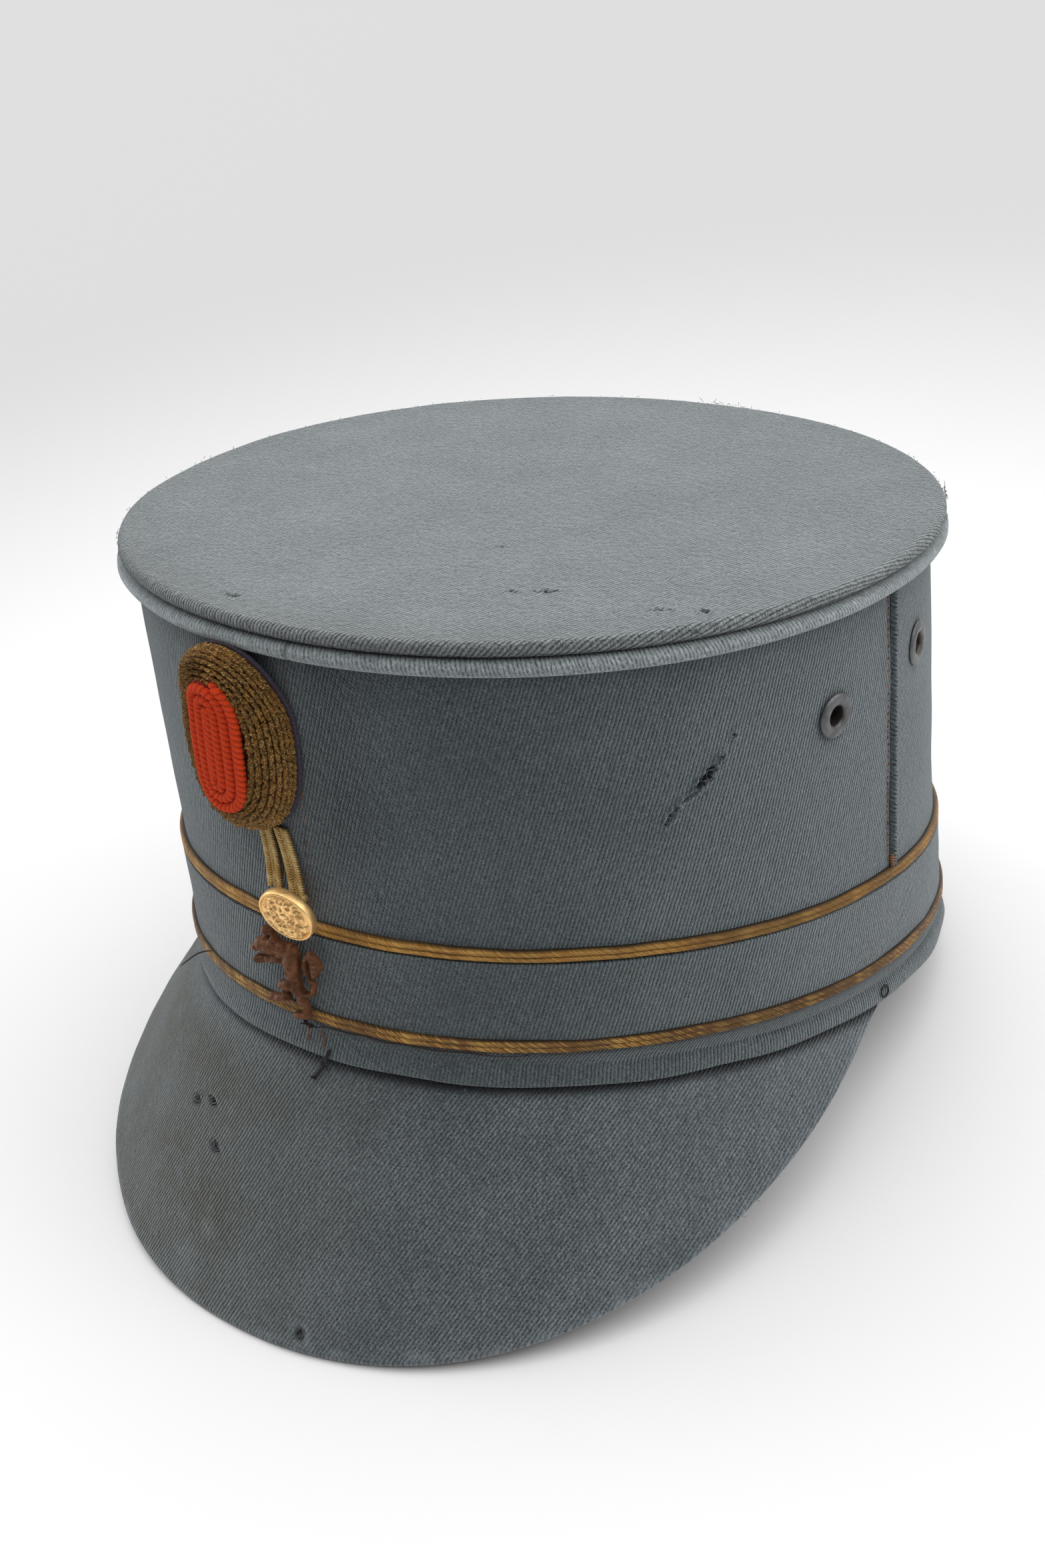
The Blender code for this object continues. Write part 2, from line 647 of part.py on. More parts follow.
def stand_on_floor(pivot):
    """Moves the pivot so that the hat's lowest point is at z = 0 and its outline is centred on the origin."""
    bpy.context.view_layer.update()
    shown = [piece for piece in pivot.children if not piece.hide_render]
    points = [piece.matrix_world @ vertex.co for piece in shown for vertex in piece.data.vertices]
    low = Vector(min(point[axis] for point in points) for axis in range(3))
    high = Vector(max(point[axis] for point in points) for axis in range(3))
    pivot.location = (-(low.x + high.x) / 2.0, -(low.y + high.y) / 2.0, -low.z)


def main():
    """Clears the scene and builds the hat at rest."""
    for leftover in list(bpy.data.objects):
        bpy.data.objects.remove(leftover)
    pivot = bpy.data.objects.new("hat_at_rest", None)
    bpy.context.scene.collection.objects.link(pivot)
    pivot.rotation_euler = (-rest_pitch(), 0.0, 0.0)
    make_crown_disc(pivot)
    make_crown_welt(pivot)
    make_body_wall(pivot)
    make_hat_band(pivot)
    make_braids(pivot)
    make_side_seams(pivot)
    make_visor(pivot)
    make_eyelets(pivot)
    make_cockade(pivot)
    make_loop_cords(pivot)
    make_button(pivot)
    make_lion_badge(pivot)
    stand_on_floor(pivot)
    bpy.context.view_layer.update()


main()
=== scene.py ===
"""Looks of an old field kepi: twill cloth, gold braids, a cockade, its loop and button, and a lion badge.

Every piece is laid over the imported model's own sizes. The hat is described about its head opening, with
the rim in the plane z = 0, the front towards -Y and the wearer's left towards +X, and is then leant back
as it rests on the edge of its visor and the back of its rim.
"""

import logging
import math
from dataclasses import dataclass, field, replace
from enum import Enum

import bmesh
import bpy
import numpy as np
from mathutils import Matrix, Vector


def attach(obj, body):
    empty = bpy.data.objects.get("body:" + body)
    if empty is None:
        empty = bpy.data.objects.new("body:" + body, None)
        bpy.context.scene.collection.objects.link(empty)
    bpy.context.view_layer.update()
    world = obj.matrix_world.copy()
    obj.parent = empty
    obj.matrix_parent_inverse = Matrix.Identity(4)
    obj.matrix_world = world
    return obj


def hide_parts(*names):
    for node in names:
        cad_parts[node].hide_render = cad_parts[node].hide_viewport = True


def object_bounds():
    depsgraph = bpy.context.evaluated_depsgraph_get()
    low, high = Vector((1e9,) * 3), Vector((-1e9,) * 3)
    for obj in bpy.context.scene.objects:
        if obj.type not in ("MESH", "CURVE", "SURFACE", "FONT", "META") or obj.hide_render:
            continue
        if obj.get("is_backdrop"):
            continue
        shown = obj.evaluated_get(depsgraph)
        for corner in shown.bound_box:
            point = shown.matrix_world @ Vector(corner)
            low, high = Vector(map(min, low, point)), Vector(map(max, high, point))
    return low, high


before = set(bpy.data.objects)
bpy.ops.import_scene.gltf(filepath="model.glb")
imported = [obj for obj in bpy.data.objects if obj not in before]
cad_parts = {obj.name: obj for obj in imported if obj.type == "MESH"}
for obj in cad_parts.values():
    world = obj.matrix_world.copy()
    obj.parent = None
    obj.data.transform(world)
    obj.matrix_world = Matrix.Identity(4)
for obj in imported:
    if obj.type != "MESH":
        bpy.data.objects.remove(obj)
log = logging.getLogger("kepi")

Colour = tuple[float, float, float]
MM = 0.001


class Side(Enum):
    """Side of the hat, as its wearer has it."""

    LEFT = 1.0
    RIGHT = -1.0


class Ends(Enum):
    """Which open ends of a skin are closed with a flat face."""

    NONE = "none"
    ROWS = "rows"
    COLUMNS = "columns"


@dataclass(frozen=True)
class HatShape:
    """Sizes that all the pieces share, in metres and radians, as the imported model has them."""

    gap: float = 0.0003
    rim_half_length: float = 0.1005
    rim_half_width: float = 0.0860
    rim_narrowing: float = 0.03
    rim_fullness: float = 2.05
    crown_half_length: float = 0.0920
    crown_half_width: float = 0.0880
    crown_narrowing: float = 0.01
    crown_fullness: float = 2.07
    crown_forward: float = 0.0212
    crown_height: float = 0.1059
    crown_slope: float = math.radians(4.5)
    disc_thickness: float = 0.0032
    disc_overhang: float = 0.0039
    welt_width: float = 0.0042
    welt_depth: float = 0.0026
    wall_thickness: float = 0.0020
    band_thickness: float = 0.0010
    braid_width: float = 0.0030
    upper_braid_height: float = 0.0325
    upper_braid_depth: float = 0.0020
    lower_braid_height: float = 0.0104
    lower_braid_depth: float = 0.0015
    rest_pitch: float = math.radians(15.108)
    rest_place: tuple[float, float, float] = (0.0, 0.01694, 0.02619)

    @property
    def wall_set_back(self) -> float:
        """Depth of the wall's outer face behind the rim."""
        return self.band_thickness + self.gap

    @property
    def welt_drop(self) -> float:
        """Distance from the disc's underside down to the welt's lower edge."""
        return self.welt_width + 2.0 * self.gap

    @property
    def band_top(self) -> float:
        """Height of the band's upper edge, under the upper braid."""
        return self.upper_braid_height - self.braid_width / 2.0 - self.gap

    def oval(
        self, half_length: float, half_width: float, narrowing: float, fullness: float, angle: np.ndarray
    ) -> tuple[np.ndarray, np.ndarray]:
        """Egg-shaped superellipse by its angle from the front towards the wearer's left.

        Args:
            half_length: Half of its length, front to back.
            half_width: Half of its width.
            narrowing: Share by which it narrows at the front.
            fullness: Exponent, 2 for an ellipse.
            angle: Angles of the points.

        Returns:
            The sideways and lengthways places of the points.
        """
        sine = np.sin(angle)
        cosine = np.cos(angle)
        side = np.copysign(np.abs(sine) ** (2.0 / fullness), sine)
        ahead = np.copysign(np.abs(cosine) ** (2.0 / fullness), cosine)
        return half_width * side * (1.0 - narrowing * cosine), -half_length * ahead

    def rim(self, angle: np.ndarray, grow: np.ndarray | float = 0.0) -> np.ndarray:
        """Points on the rim, grown outwards by grow."""
        x, y = self.oval(
            self.rim_half_length + grow, self.rim_half_width + grow, self.rim_narrowing, self.rim_fullness, angle
        )
        return np.stack([x, y, np.zeros_like(x)], axis=-1)

    def crown(self, angle: np.ndarray, grow: np.ndarray | float, rise: np.ndarray | float) -> np.ndarray:
        """Points in the crown's sloping plane, grown outwards by grow and raised by rise."""
        x, y = self.oval(
            self.crown_half_length + grow,
            self.crown_half_width + grow,
            self.crown_narrowing,
            self.crown_fullness,
            angle,
        )
        return self.on_crown(x, y, rise)

    def on_crown(self, x: np.ndarray, y: np.ndarray, rise: np.ndarray | float) -> np.ndarray:
        """Points of the crown's plane by their own two coordinates and their rise above it."""
        slope_cos = math.cos(self.crown_slope)
        slope_sin = math.sin(self.crown_slope)
        x, y, rise = np.broadcast_arrays(x, y, rise)
        return np.stack(
            [
                x,
                y * slope_cos - rise * slope_sin - self.crown_forward,
                y * slope_sin + rise * slope_cos + self.crown_height,
            ],
            axis=-1,
        )

    def ruling(self, angle: np.ndarray) -> tuple[np.ndarray, np.ndarray]:
        """Feet and heads of the straight lines that the wall's outer face follows."""
        return self.rim(angle, -self.wall_set_back), self.crown(angle, 0.0, -self.welt_drop)

    def wall_axes(
        self, angle: np.ndarray, height: np.ndarray | float
    ) -> tuple[np.ndarray, np.ndarray, np.ndarray, np.ndarray]:
        """Places on the wall with their directions.

        Args:
            angle: Angles from the front.
            height: Heights up the wall from the rim.

        Returns:
            The points and the unit directions to the side, up the wall and outwards.
        """
        angle, height = np.broadcast_arrays(np.asarray(angle, float), np.asarray(height, float))
        step = 0.001
        foot, head = self.ruling(angle)
        up = unit(head - foot)
        point = foot + up * height[..., None]
        next_foot, next_head = self.ruling(angle + step)
        beside = next_foot + unit(next_head - next_foot) * height[..., None]
        outward = unit(np.cross(beside - point, up))
        return point, unit(np.cross(up, outward)), up, outward

    def wall(self, angle: np.ndarray, height: np.ndarray | float, out: np.ndarray | float = 0.0) -> np.ndarray:
        """Points on the wall by angle, height up it and distance out from its outer face."""
        point, _, _, outward = self.wall_axes(angle, height)
        return point + outward * np.broadcast_to(np.asarray(out, float), point.shape[:-1])[..., None]

    def wall_height(self, angle: np.ndarray) -> np.ndarray:
        """Full height of the wall below the welt's lower edge."""
        foot, head = self.ruling(angle)
        return np.linalg.norm(head - foot, axis=-1)

    def front_angle(self, side: np.ndarray, height: np.ndarray | float) -> np.ndarray:
        """Angles on the wall that lie a distance to the side of the middle of the front."""
        step = 0.02
        across = self.wall(np.full_like(side, step), height) - self.wall(np.full_like(side, -step), height)
        return side * 2.0 * step / np.linalg.norm(across, axis=-1)

    def front(self, side: np.ndarray, height: np.ndarray | float, out: np.ndarray | float) -> np.ndarray:
        """Points on the front of the wall by their distance to the side, height and stand-off."""
        side, height, out = np.broadcast_arrays(*(np.asarray(value, float) for value in (side, height, out)))
        return self.wall(self.front_angle(side, height), height, out)

    def arc(self, angle: np.ndarray, height: float) -> np.ndarray:
        """Distance round the wall at a height, from the middle of the front, in metres."""
        steps = np.linspace(-1.2 * math.pi, 1.2 * math.pi, 2401)
        points = self.wall(steps, height)
        lengths = np.concatenate([[0.0], np.cumsum(np.linalg.norm(np.diff(points, axis=0), axis=1))])
        lengths -= np.interp(0.0, steps, lengths)
        return np.interp(angle, steps, lengths)

    def settle(self, points: np.ndarray) -> np.ndarray:
        """Points of the upright hat laid down as the hat rests."""
        cosine = math.cos(self.rest_pitch)
        sine = math.sin(self.rest_pitch)
        x, y, z = points[..., 0], points[..., 1], points[..., 2]
        laid = np.stack([x, y * cosine + z * sine, -y * sine + z * cosine], axis=-1)
        return laid + np.array(self.rest_place)


HAT = HatShape()


def unit(vectors: np.ndarray) -> np.ndarray:
    """Vectors at length one."""
    return vectors / np.maximum(np.linalg.norm(vectors, axis=-1, keepdims=True), 1e-12)


def ease(value: np.ndarray, start: float, end: float) -> np.ndarray:
    """Smooth step from 0 at start to 1 at end."""
    share = np.clip((value - start) / (end - start), 0.0, 1.0)
    return share * share * (3.0 - 2.0 * share)


def ripple(x: np.ndarray, y: np.ndarray, size: float, seed: int, waves: int = 9) -> np.ndarray:
    """Soft seeded unevenness.

    Args:
        x: First coordinate of each place.
        y: Second coordinate of each place, in the same unit.
        size: Rough width of one swelling, in that unit.
        seed: Seed of the pattern.
        waves: Number of waves that are laid over each other.

    Returns:
        A value from about -1 to 1 for each place.
    """
    rng = np.random.default_rng(seed)
    total = np.zeros(np.broadcast(x, y).shape)
    for _ in range(waves):
        heading = rng.uniform(0.0, 2.0 * math.pi)
        pace = rng.uniform(0.6, 1.7) * math.pi / size
        total += np.sin((x * math.cos(heading) + y * math.sin(heading)) * pace + rng.uniform(0.0, 2.0 * math.pi))
    return total / math.sqrt(waves) / 1.6


def spaced(start: float, end: float, coarse: float, fine: float, zones: tuple[tuple[float, float], ...]) -> np.ndarray:
    """Stations along a line, closer together inside some zones."""
    places = [start]
    while places[-1] < end:
        here = places[-1]
        near = min((max(low - here, here - high, 0.0) for low, high in zones), default=coarse * 9.0)
        places.append(here + min(coarse, fine + near * 0.25))
    places = np.array(places)
    return start + (places - start) * (end - start) / (places[-1] - start)


def skin(
    name: str,
    points: np.ndarray,
    paints: dict[str, np.ndarray],
    closed_rows: bool,
    closed_columns: bool,
    ends: Ends = Ends.NONE,
    sharp: float = 60.0,
    row_finish: np.ndarray | None = None,
) -> bpy.types.Object:
    """Turns a grid of points into one smooth mesh in the resting hat's place.

    A closed direction repeats its first line at its end, so that the paints may run on past the join.

    Args:
        name: Name of the piece.
        points: Grid of points, rows by columns by 3.
        paints: Vector paints by name, each a grid of the same size.
        closed_rows: Whether the last row meets the first.
        closed_columns: Whether the last column meets the first.
        ends: Open ends to close with a flat face.
        sharp: Angle in degrees from which an edge stays sharp.
        row_finish: Material index of each row of faces.

    Returns:
        The new object.
    """
    rows, columns = points.shape[:2]
    kept = points[: rows - closed_rows, : columns - closed_columns]
    height, width = kept.shape[:2]
    row, column = np.meshgrid(np.arange(rows - 1), np.arange(columns - 1), indexing="ij")
    offsets = ((0, 0), (0, 1), (1, 1), (1, 0))
    corners = np.stack([(row + a) % height * width + (column + b) % width for a, b in offsets], axis=-1)
    reads = np.stack([(row + a) * columns + column + b for a, b in offsets], axis=-1)
    faces = corners.reshape(-1, 4).tolist()
    read = reads.reshape(-1)
    if ends is not Ends.NONE:
        grid = np.arange(height * width).reshape(height, width)
        source = np.arange(rows * columns).reshape(rows, columns)
        if ends is Ends.ROWS:
            lids = [(grid[0][::-1], source[0, :width][::-1]), (grid[-1], source[-1, :width])]
        else:
            lids = [(grid[:, 0], source[:height, 0]), (grid[:, -1][::-1], source[:height, -1][::-1])]
        for lid, origin in lids:
            faces.append(lid.tolist())
            read = np.concatenate([read, origin])
    laid = HAT.settle(kept.reshape(-1, 3))
    mesh = bpy.data.meshes.new(name)
    mesh.from_pydata(laid.tolist(), [], faces)
    for key, paint in paints.items():
        layer = mesh.attributes.new(key, "FLOAT_VECTOR", "CORNER")
        layer.data.foreach_set("vector", paint.reshape(-1, 3)[read].astype(np.float32).ravel())
    if row_finish is not None:
        slots = np.repeat(row_finish, columns - 1).astype(np.int32)
        slots = np.concatenate([slots, np.zeros(len(mesh.polygons) - len(slots), np.int32)])
        mesh.polygons.foreach_set("material_index", slots)
    quads = laid[corners.reshape(-1, 4)]
    swept = np.einsum("ij,ij->i", quads[:, 0], np.cross(quads[:, 1] - quads[:, 3], quads[:, 2] - quads[:, 0]))
    if swept.sum() < 0.0:
        mesh.flip_normals()
    return place(name, mesh, sharp)


def place(name: str, mesh: bpy.types.Mesh, sharp: float = 60.0) -> bpy.types.Object:
    """Links a mesh as a smooth object of its name."""
    mesh.update()
    mesh.shade_smooth()
    mesh.set_sharp_from_angle(angle=math.radians(sharp))
    piece = bpy.data.objects.new(name, mesh)
    bpy.context.scene.collection.objects.link(piece)
    return piece


def tube(
    path: np.ndarray, across: np.ndarray, radius: np.ndarray, around: int
) -> tuple[np.ndarray, np.ndarray, np.ndarray]:
    """Rings round a path.

    Args:
        path: Points along the path.
        across: Direction at each point that the first ring corner lies in, roughly square to the path.
        radius: Radius, of the path's length or one for each corner too.
        around: Number of corners in a ring.

    Returns:
        The points with the last ring corner repeated, the distance along the path and the turn, as grids.
    """
    along = unit(np.gradient(path, axis=0))
    first = unit(across - along * np.sum(across * along, axis=-1, keepdims=True))
    second = np.cross(along, first)
    turn = np.linspace(0.0, 2.0 * math.pi, around + 1)[None, :]
    distance = np.concatenate([[0.0], np.cumsum(np.linalg.norm(np.diff(path, axis=0), axis=1))])[:, None]
    distance, turn = np.broadcast_arrays(distance, turn)
    reach = np.broadcast_to(np.asarray(radius, float).reshape(len(path), -1), turn.shape)[..., None]
    way = first[:, None] * np.cos(turn)[..., None] + second[:, None] * np.sin(turn)[..., None]
    return path[:, None] + way * reach, distance, turn


def join(name: str, parts: list[bpy.types.Object]) -> bpy.types.Object:
    """Joins meshes with the same materials into one object."""
    work = bmesh.new()
    for part in parts:
        work.from_mesh(part.data)
    mesh = bpy.data.meshes.new(name)
    work.to_mesh(mesh)
    work.free()
    for part in parts:
        old = part.data
        bpy.data.objects.remove(part)
        bpy.data.meshes.remove(old)
    return place(name, mesh)


def threads(name: str, paths: list[np.ndarray], radius: float, around: int = 5) -> bpy.types.Object:
    """Turns paths into thin threads that taper at their ends, all in one mesh.

    Args:
        name: Name of the piece.
        paths: Points along each thread, in the upright hat's frame.
        radius: Half of a thread's greatest width.
        around: Number of sides.

    Returns:
        The new object.
    """
    points = []
    paints = []
    faces = []
    for number, path in enumerate(paths):
        swell = np.clip(np.sin(np.linspace(0.05, 0.95, len(path)) * math.pi), 0.0, 1.0) ** 0.5
        across = np.broadcast_to(np.array([0.36, 0.48, 0.80]), path.shape)
        grid, along, turn = tube(path, across, radius * swell, around)
        first = len(points)
        points += HAT.settle(grid[:, :-1].reshape(-1, 3)).tolist()
        paints.append(stack(along / MM, turn * radius / MM, 0.17 * (number % 7))[:, :-1].reshape(-1, 3))
        for row in range(len(path) - 1):
            for corner in range(around):
                beside = (corner + 1) % around
                low = first + row * around
                faces.append((low + corner, low + beside, low + around + beside, low + around + corner))
        faces.append(tuple(first + corner for corner in reversed(range(around))))
        faces.append(tuple(len(points) - around + corner for corner in range(around)))
    mesh = bpy.data.meshes.new(name)
    mesh.from_pydata(points, [], faces)
    layer = mesh.attributes.new("weave", "FLOAT_VECTOR", "POINT")
    layer.data.foreach_set("vector", np.concatenate(paints).astype(np.float32).ravel())
    return place(name, mesh, 80.0)


def stack(*values: np.ndarray | float) -> np.ndarray:
    """Three values as one vector for each place."""
    return np.stack(np.broadcast_arrays(*(np.asarray(value, float) for value in values)), axis=-1)


class Recipe:
    """Node tree of one finish, written step by step."""

    def __init__(self, name: str) -> None:
        """Starts a material whose tree holds only its shader and output."""
        self.material = bpy.data.materials.new(name)
        self.material.use_nodes = True
        self.tree = self.material.node_tree
        self.shader = self.tree.nodes["Principled BSDF"]

    def node(self, kind: str, **settings: object) -> bpy.types.Node:
        """Adds a node of a kind with its settings."""
        made = self.tree.nodes.new(kind)
        for key, value in settings.items():
            setattr(made, key, value)
        return made

    def feed(self, socket: bpy.types.NodeSocket, value: object) -> None:
        """Links a socket, or sets its value where the value is a number or a colour."""
        if isinstance(value, bpy.types.NodeSocket):
            self.tree.links.new(value, socket)
        elif isinstance(value, tuple) and len(value) == 3 and socket.type == "RGBA":
            socket.default_value = (*value, 1.0)
        else:
            socket.default_value = value

    def paint(self, name: str) -> bpy.types.NodeSocket:
        """Vector paint of the mesh."""
        return self.node("ShaderNodeAttribute", attribute_name=name).outputs["Vector"]

    def split(self, vector: bpy.types.NodeSocket) -> tuple[bpy.types.NodeSocket, ...]:
        """The three numbers of a vector."""
        made = self.node("ShaderNodeSeparateXYZ")
        self.feed(made.inputs[0], vector)
        return tuple(made.outputs)

    def merge(self, x: object, y: object, z: object = 0.0) -> bpy.types.NodeSocket:
        """A vector of three numbers."""
        made = self.node("ShaderNodeCombineXYZ")
        for socket, value in zip(made.inputs, (x, y, z)):
            self.feed(socket, value)
        return made.outputs[0]

    def sum(self, operation: str, first: object, second: object = 0.0, third: object = 0.0) -> bpy.types.NodeSocket:
        """One step of arithmetic."""
        made = self.node("ShaderNodeMath", operation=operation)
        for socket, value in zip(made.inputs, (first, second, third)):
            self.feed(socket, value)
        return made.outputs[0]

    def span(self, value: object, low: float, high: float, new_low: float = 0.0, new_high: float = 1.0) -> bpy.types.NodeSocket:
        """A value's range stretched to a new one, smoothly and held at its ends."""
        made = self.node("ShaderNodeMapRange", interpolation_type="SMOOTHSTEP")
        for socket, item in zip(made.inputs, (value, low, high, new_low, new_high)):
            self.feed(socket, item)
        return made.outputs[0]

    def mix(self, share: object, first: object, second: object, blend: str = "MIX") -> bpy.types.NodeSocket:
        """Two colours mixed."""
        made = self.node("ShaderNodeMix", data_type="RGBA", blend_type=blend)
        for key, value in ((0, share), (6, first), (7, second)):
            self.feed(made.inputs[key], value)
        return made.outputs[2]

    def grain(self, vector: object, scale: float, detail: float = 2.0, roughness: float = 0.55) -> bpy.types.NodeSocket:
        """Cloudy noise from 0 to 1."""
        made = self.node("ShaderNodeTexNoise")
        self.feed(made.inputs["Vector"], vector)
        self.feed(made.inputs["Scale"], scale)
        self.feed(made.inputs["Detail"], detail)
        self.feed(made.inputs["Roughness"], roughness)
        return made.outputs["Fac"]

    def chance(self, vector: object) -> bpy.types.NodeSocket:
        """A random number for each cell of whole coordinates."""
        made = self.node("ShaderNodeTexWhiteNoise", noise_dimensions="3D")
        self.feed(made.inputs["Vector"], vector)
        return made.outputs["Value"]

    def stretch(self, vector: object, x: float, y: float, z: float) -> bpy.types.NodeSocket:
        """A vector scaled along each axis."""
        made = self.node("ShaderNodeVectorMath", operation="MULTIPLY")
        self.feed(made.inputs[0], vector)
        made.inputs[1].default_value = (x, y, z)
        return made.outputs[0]

    def steps(self, share: object, stops: tuple[tuple[float, Colour], ...]) -> bpy.types.NodeSocket:
        """Colours along a ramp."""
        made = self.node("ShaderNodeValToRGB")
        self.feed(made.inputs[0], share)
        ramp = made.color_ramp
        while len(ramp.elements) < len(stops):
            ramp.elements.new(0.5)
        for element, (spot, colour) in zip(ramp.elements, stops):
            element.position = spot
            element.color = (*colour, 1.0)
        return made.outputs[0]

    def relief(self, height: object, distance: float, strength: float = 1.0) -> None:
        """Fine relief of the surface, with its depth in metres."""
        made = self.node("ShaderNodeBump")
        made.inputs["Strength"].default_value = strength
        made.inputs["Distance"].default_value = distance
        self.feed(made.inputs["Height"], height)
        self.feed(self.shader.inputs["Normal"], made.outputs[0])

    def set(self, **values: object) -> None:
        """Sets or links the shader's sockets by name, with _ for a space."""
        for key, value in values.items():
            self.feed(self.shader.inputs[key.replace("_", " ")], value)


@dataclass(frozen=True)
class Twill:
    """Wool twill: round ribs of short slanted yarns in mixed blue and grey wool.

    The weave paint holds the distance across the ribs, the distance along them and a bolt number, in
    millimetres. The age paint holds brown stain, pale wear, and a darkening that is mostly
    painted shade and painted shadow, with a few dark joins and threads. The grooves between the ribs
    are painted darker, partly as painted shade and partly for the darker yarn there.
    """

    name: str
    pitch: float = 0.83
    dark: Colour = (0.032, 0.046, 0.054)
    middle: Colour = (0.084, 0.111, 0.120)
    pale: Colour = (0.190, 0.226, 0.234)
    groove_shade: Colour = (0.008, 0.013, 0.019)
    stain: Colour = (0.085, 0.078, 0.055)
    worn: Colour = (0.230, 0.265, 0.285)
    shade_and_dirt: Colour = (0.006, 0.007, 0.010)
    groove_shade_share: float = 0.95
    depth: float = 0.00030
    sheen: float = 0.58
    nap: float = 0.46
    pills: float = 0.25
    holes: tuple[tuple[float, float, float], ...] = ()

    def make(self) -> bpy.types.Material:
        """Writes the finish.

        Returns:
            The material.
        """
        recipe = Recipe(self.name)
        weave = recipe.paint("weave")
        across, along, bolt = recipe.split(weave)
        count = recipe.sum("DIVIDE", across, self.pitch)
        wander = recipe.grain(recipe.stretch(weave, 0.35, 0.12, 1.0), 1.0, 2.0)
        count = recipe.sum("ADD", count, recipe.sum("MULTIPLY", wander, 0.55))
        wobble = recipe.grain(recipe.stretch(weave, 1.5, 0.8, 1.0), 1.0, 2.0)
        count = recipe.sum("ADD", count, recipe.sum("MULTIPLY", wobble, 0.50))
        rib = recipe.sum("FLOOR", count)
        share = recipe.sum("FRACT", count)
        ridge = recipe.sum("SINE", recipe.sum("MULTIPLY", share, math.pi))
        yarn = recipe.sum("ADD", recipe.sum("DIVIDE", along, 0.78), recipe.sum("MULTIPLY", rib, 0.37))
        yarn = recipe.sum("ADD", yarn, recipe.sum("MULTIPLY", share, 0.85))
        bead = recipe.sum("SINE", recipe.sum("MULTIPLY", recipe.sum("FRACT", yarn), math.pi))
        lump = recipe.sum("MULTIPLY", recipe.sum("POWER", ridge, 0.8), recipe.sum("MULTIPLY_ADD", bead, 0.28, 0.72))
        fuzz = recipe.grain(recipe.stretch(weave, 4.5, 1.6, 1.0), 1.0, 3.0, 0.65)
        nap = recipe.grain(recipe.stretch(weave, 2.3, 1.9, 1.0), 1.0, 4.0, 0.72)
        height = recipe.sum("MULTIPLY_ADD", fuzz, 0.55, lump)
        height = recipe.sum("MULTIPLY_ADD", nap, self.nap, height)

        tint = recipe.chance(recipe.merge(rib, recipe.sum("FLOOR", yarn), bolt))
        cloud = recipe.grain(recipe.stretch(weave, 0.05, 0.04, 1.0), 1.0, 4.0)
        blend = recipe.sum("MULTIPLY_ADD", tint, 0.22, recipe.sum("MULTIPLY_ADD", fuzz, 0.50, 0.04))
        blend = recipe.sum("MULTIPLY_ADD", recipe.span(nap, 0.32, 0.68), 0.42, blend)
        blend = recipe.sum("ADD", blend, recipe.sum("MULTIPLY_ADD", cloud, 0.40, -0.30))
        wool = recipe.steps(blend, ((0.12, self.dark), (0.50, self.middle), (0.95, self.pale)))
        brown, wear, shade_and_dirt_share = recipe.split(recipe.paint("age"))
        patchy = recipe.grain(recipe.stretch(weave, 0.22, 0.18, 1.0), 1.0, 4.0, 0.6)
        wool = recipe.mix(recipe.sum("MULTIPLY", brown, recipe.span(patchy, 0.12, 0.55)), wool, self.stain)
        rubbed = recipe.sum("MULTIPLY", wear, recipe.span(recipe.sum("ADD", fuzz, patchy), 0.75, 1.25))
        wool = recipe.mix(rubbed, wool, self.worn)
        # The grooves between the ribs are painted darker: painted shade, with the darker yarn there.
        hollow = recipe.sum("MULTIPLY", recipe.span(lump, 0.88, 0.20), self.groove_shade_share)
        hollow = recipe.sum("MULTIPLY", hollow, recipe.span(nap, 0.66, 0.36, 1.0 - self.nap, 1.0))
        wool = recipe.mix(recipe.sum("MULTIPLY", hollow, recipe.sum("SUBTRACT", 1.0, rubbed)), wool, self.groove_shade)
        # Third value of the age paint: painted shade and painted shadows, with the welt's dark join and the dark thread
        # under the lower braid.
        wool = recipe.mix(shade_and_dirt_share, wool, self.shade_and_dirt)
        fleck = recipe.grain(recipe.stretch(weave, 0.62, 0.55, 3.0), 1.0, 3.0, 0.6)
        wool = recipe.mix(recipe.span(fleck, 0.64, 0.72, 0.0, self.pills), wool, self.worn)
        wool = recipe.mix(recipe.span(fleck, 0.36, 0.29, 0.0, self.pills * 1.6), wool, self.dark)
        height = recipe.sum("MULTIPLY_ADD", recipe.span(fleck, 0.34, 0.68), self.pills * 2.0, height)
        # Worn-through holes: painted shade inside, pressed in by the bump.
        for hole_across, hole_along, radius in self.holes:
            away = recipe.node("ShaderNodeVectorMath", operation="DISTANCE")
            recipe.feed(away.inputs[0], recipe.merge(across, along, 0.0))
            away.inputs[1].default_value = (hole_across, hole_along, 0.0)
            ragged = recipe.sum("MULTIPLY_ADD", fuzz, radius * 0.9, away.outputs["Value"])
            inside = recipe.span(ragged, radius * 1.55, radius * 1.15)
            wool = recipe.mix(inside, wool, self.shade_and_dirt)
            height = recipe.sum("MULTIPLY_ADD", inside, -1.6, height)
        recipe.set(Base_Color=wool, Roughness=0.92, Specular_IOR_Level=0.15)
        recipe.set(Sheen_Weight=self.sheen, Sheen_Roughness=0.45, Sheen_Tint=(0.90, 0.95, 0.97))
        recipe.relief(height, self.depth)
        return recipe.material


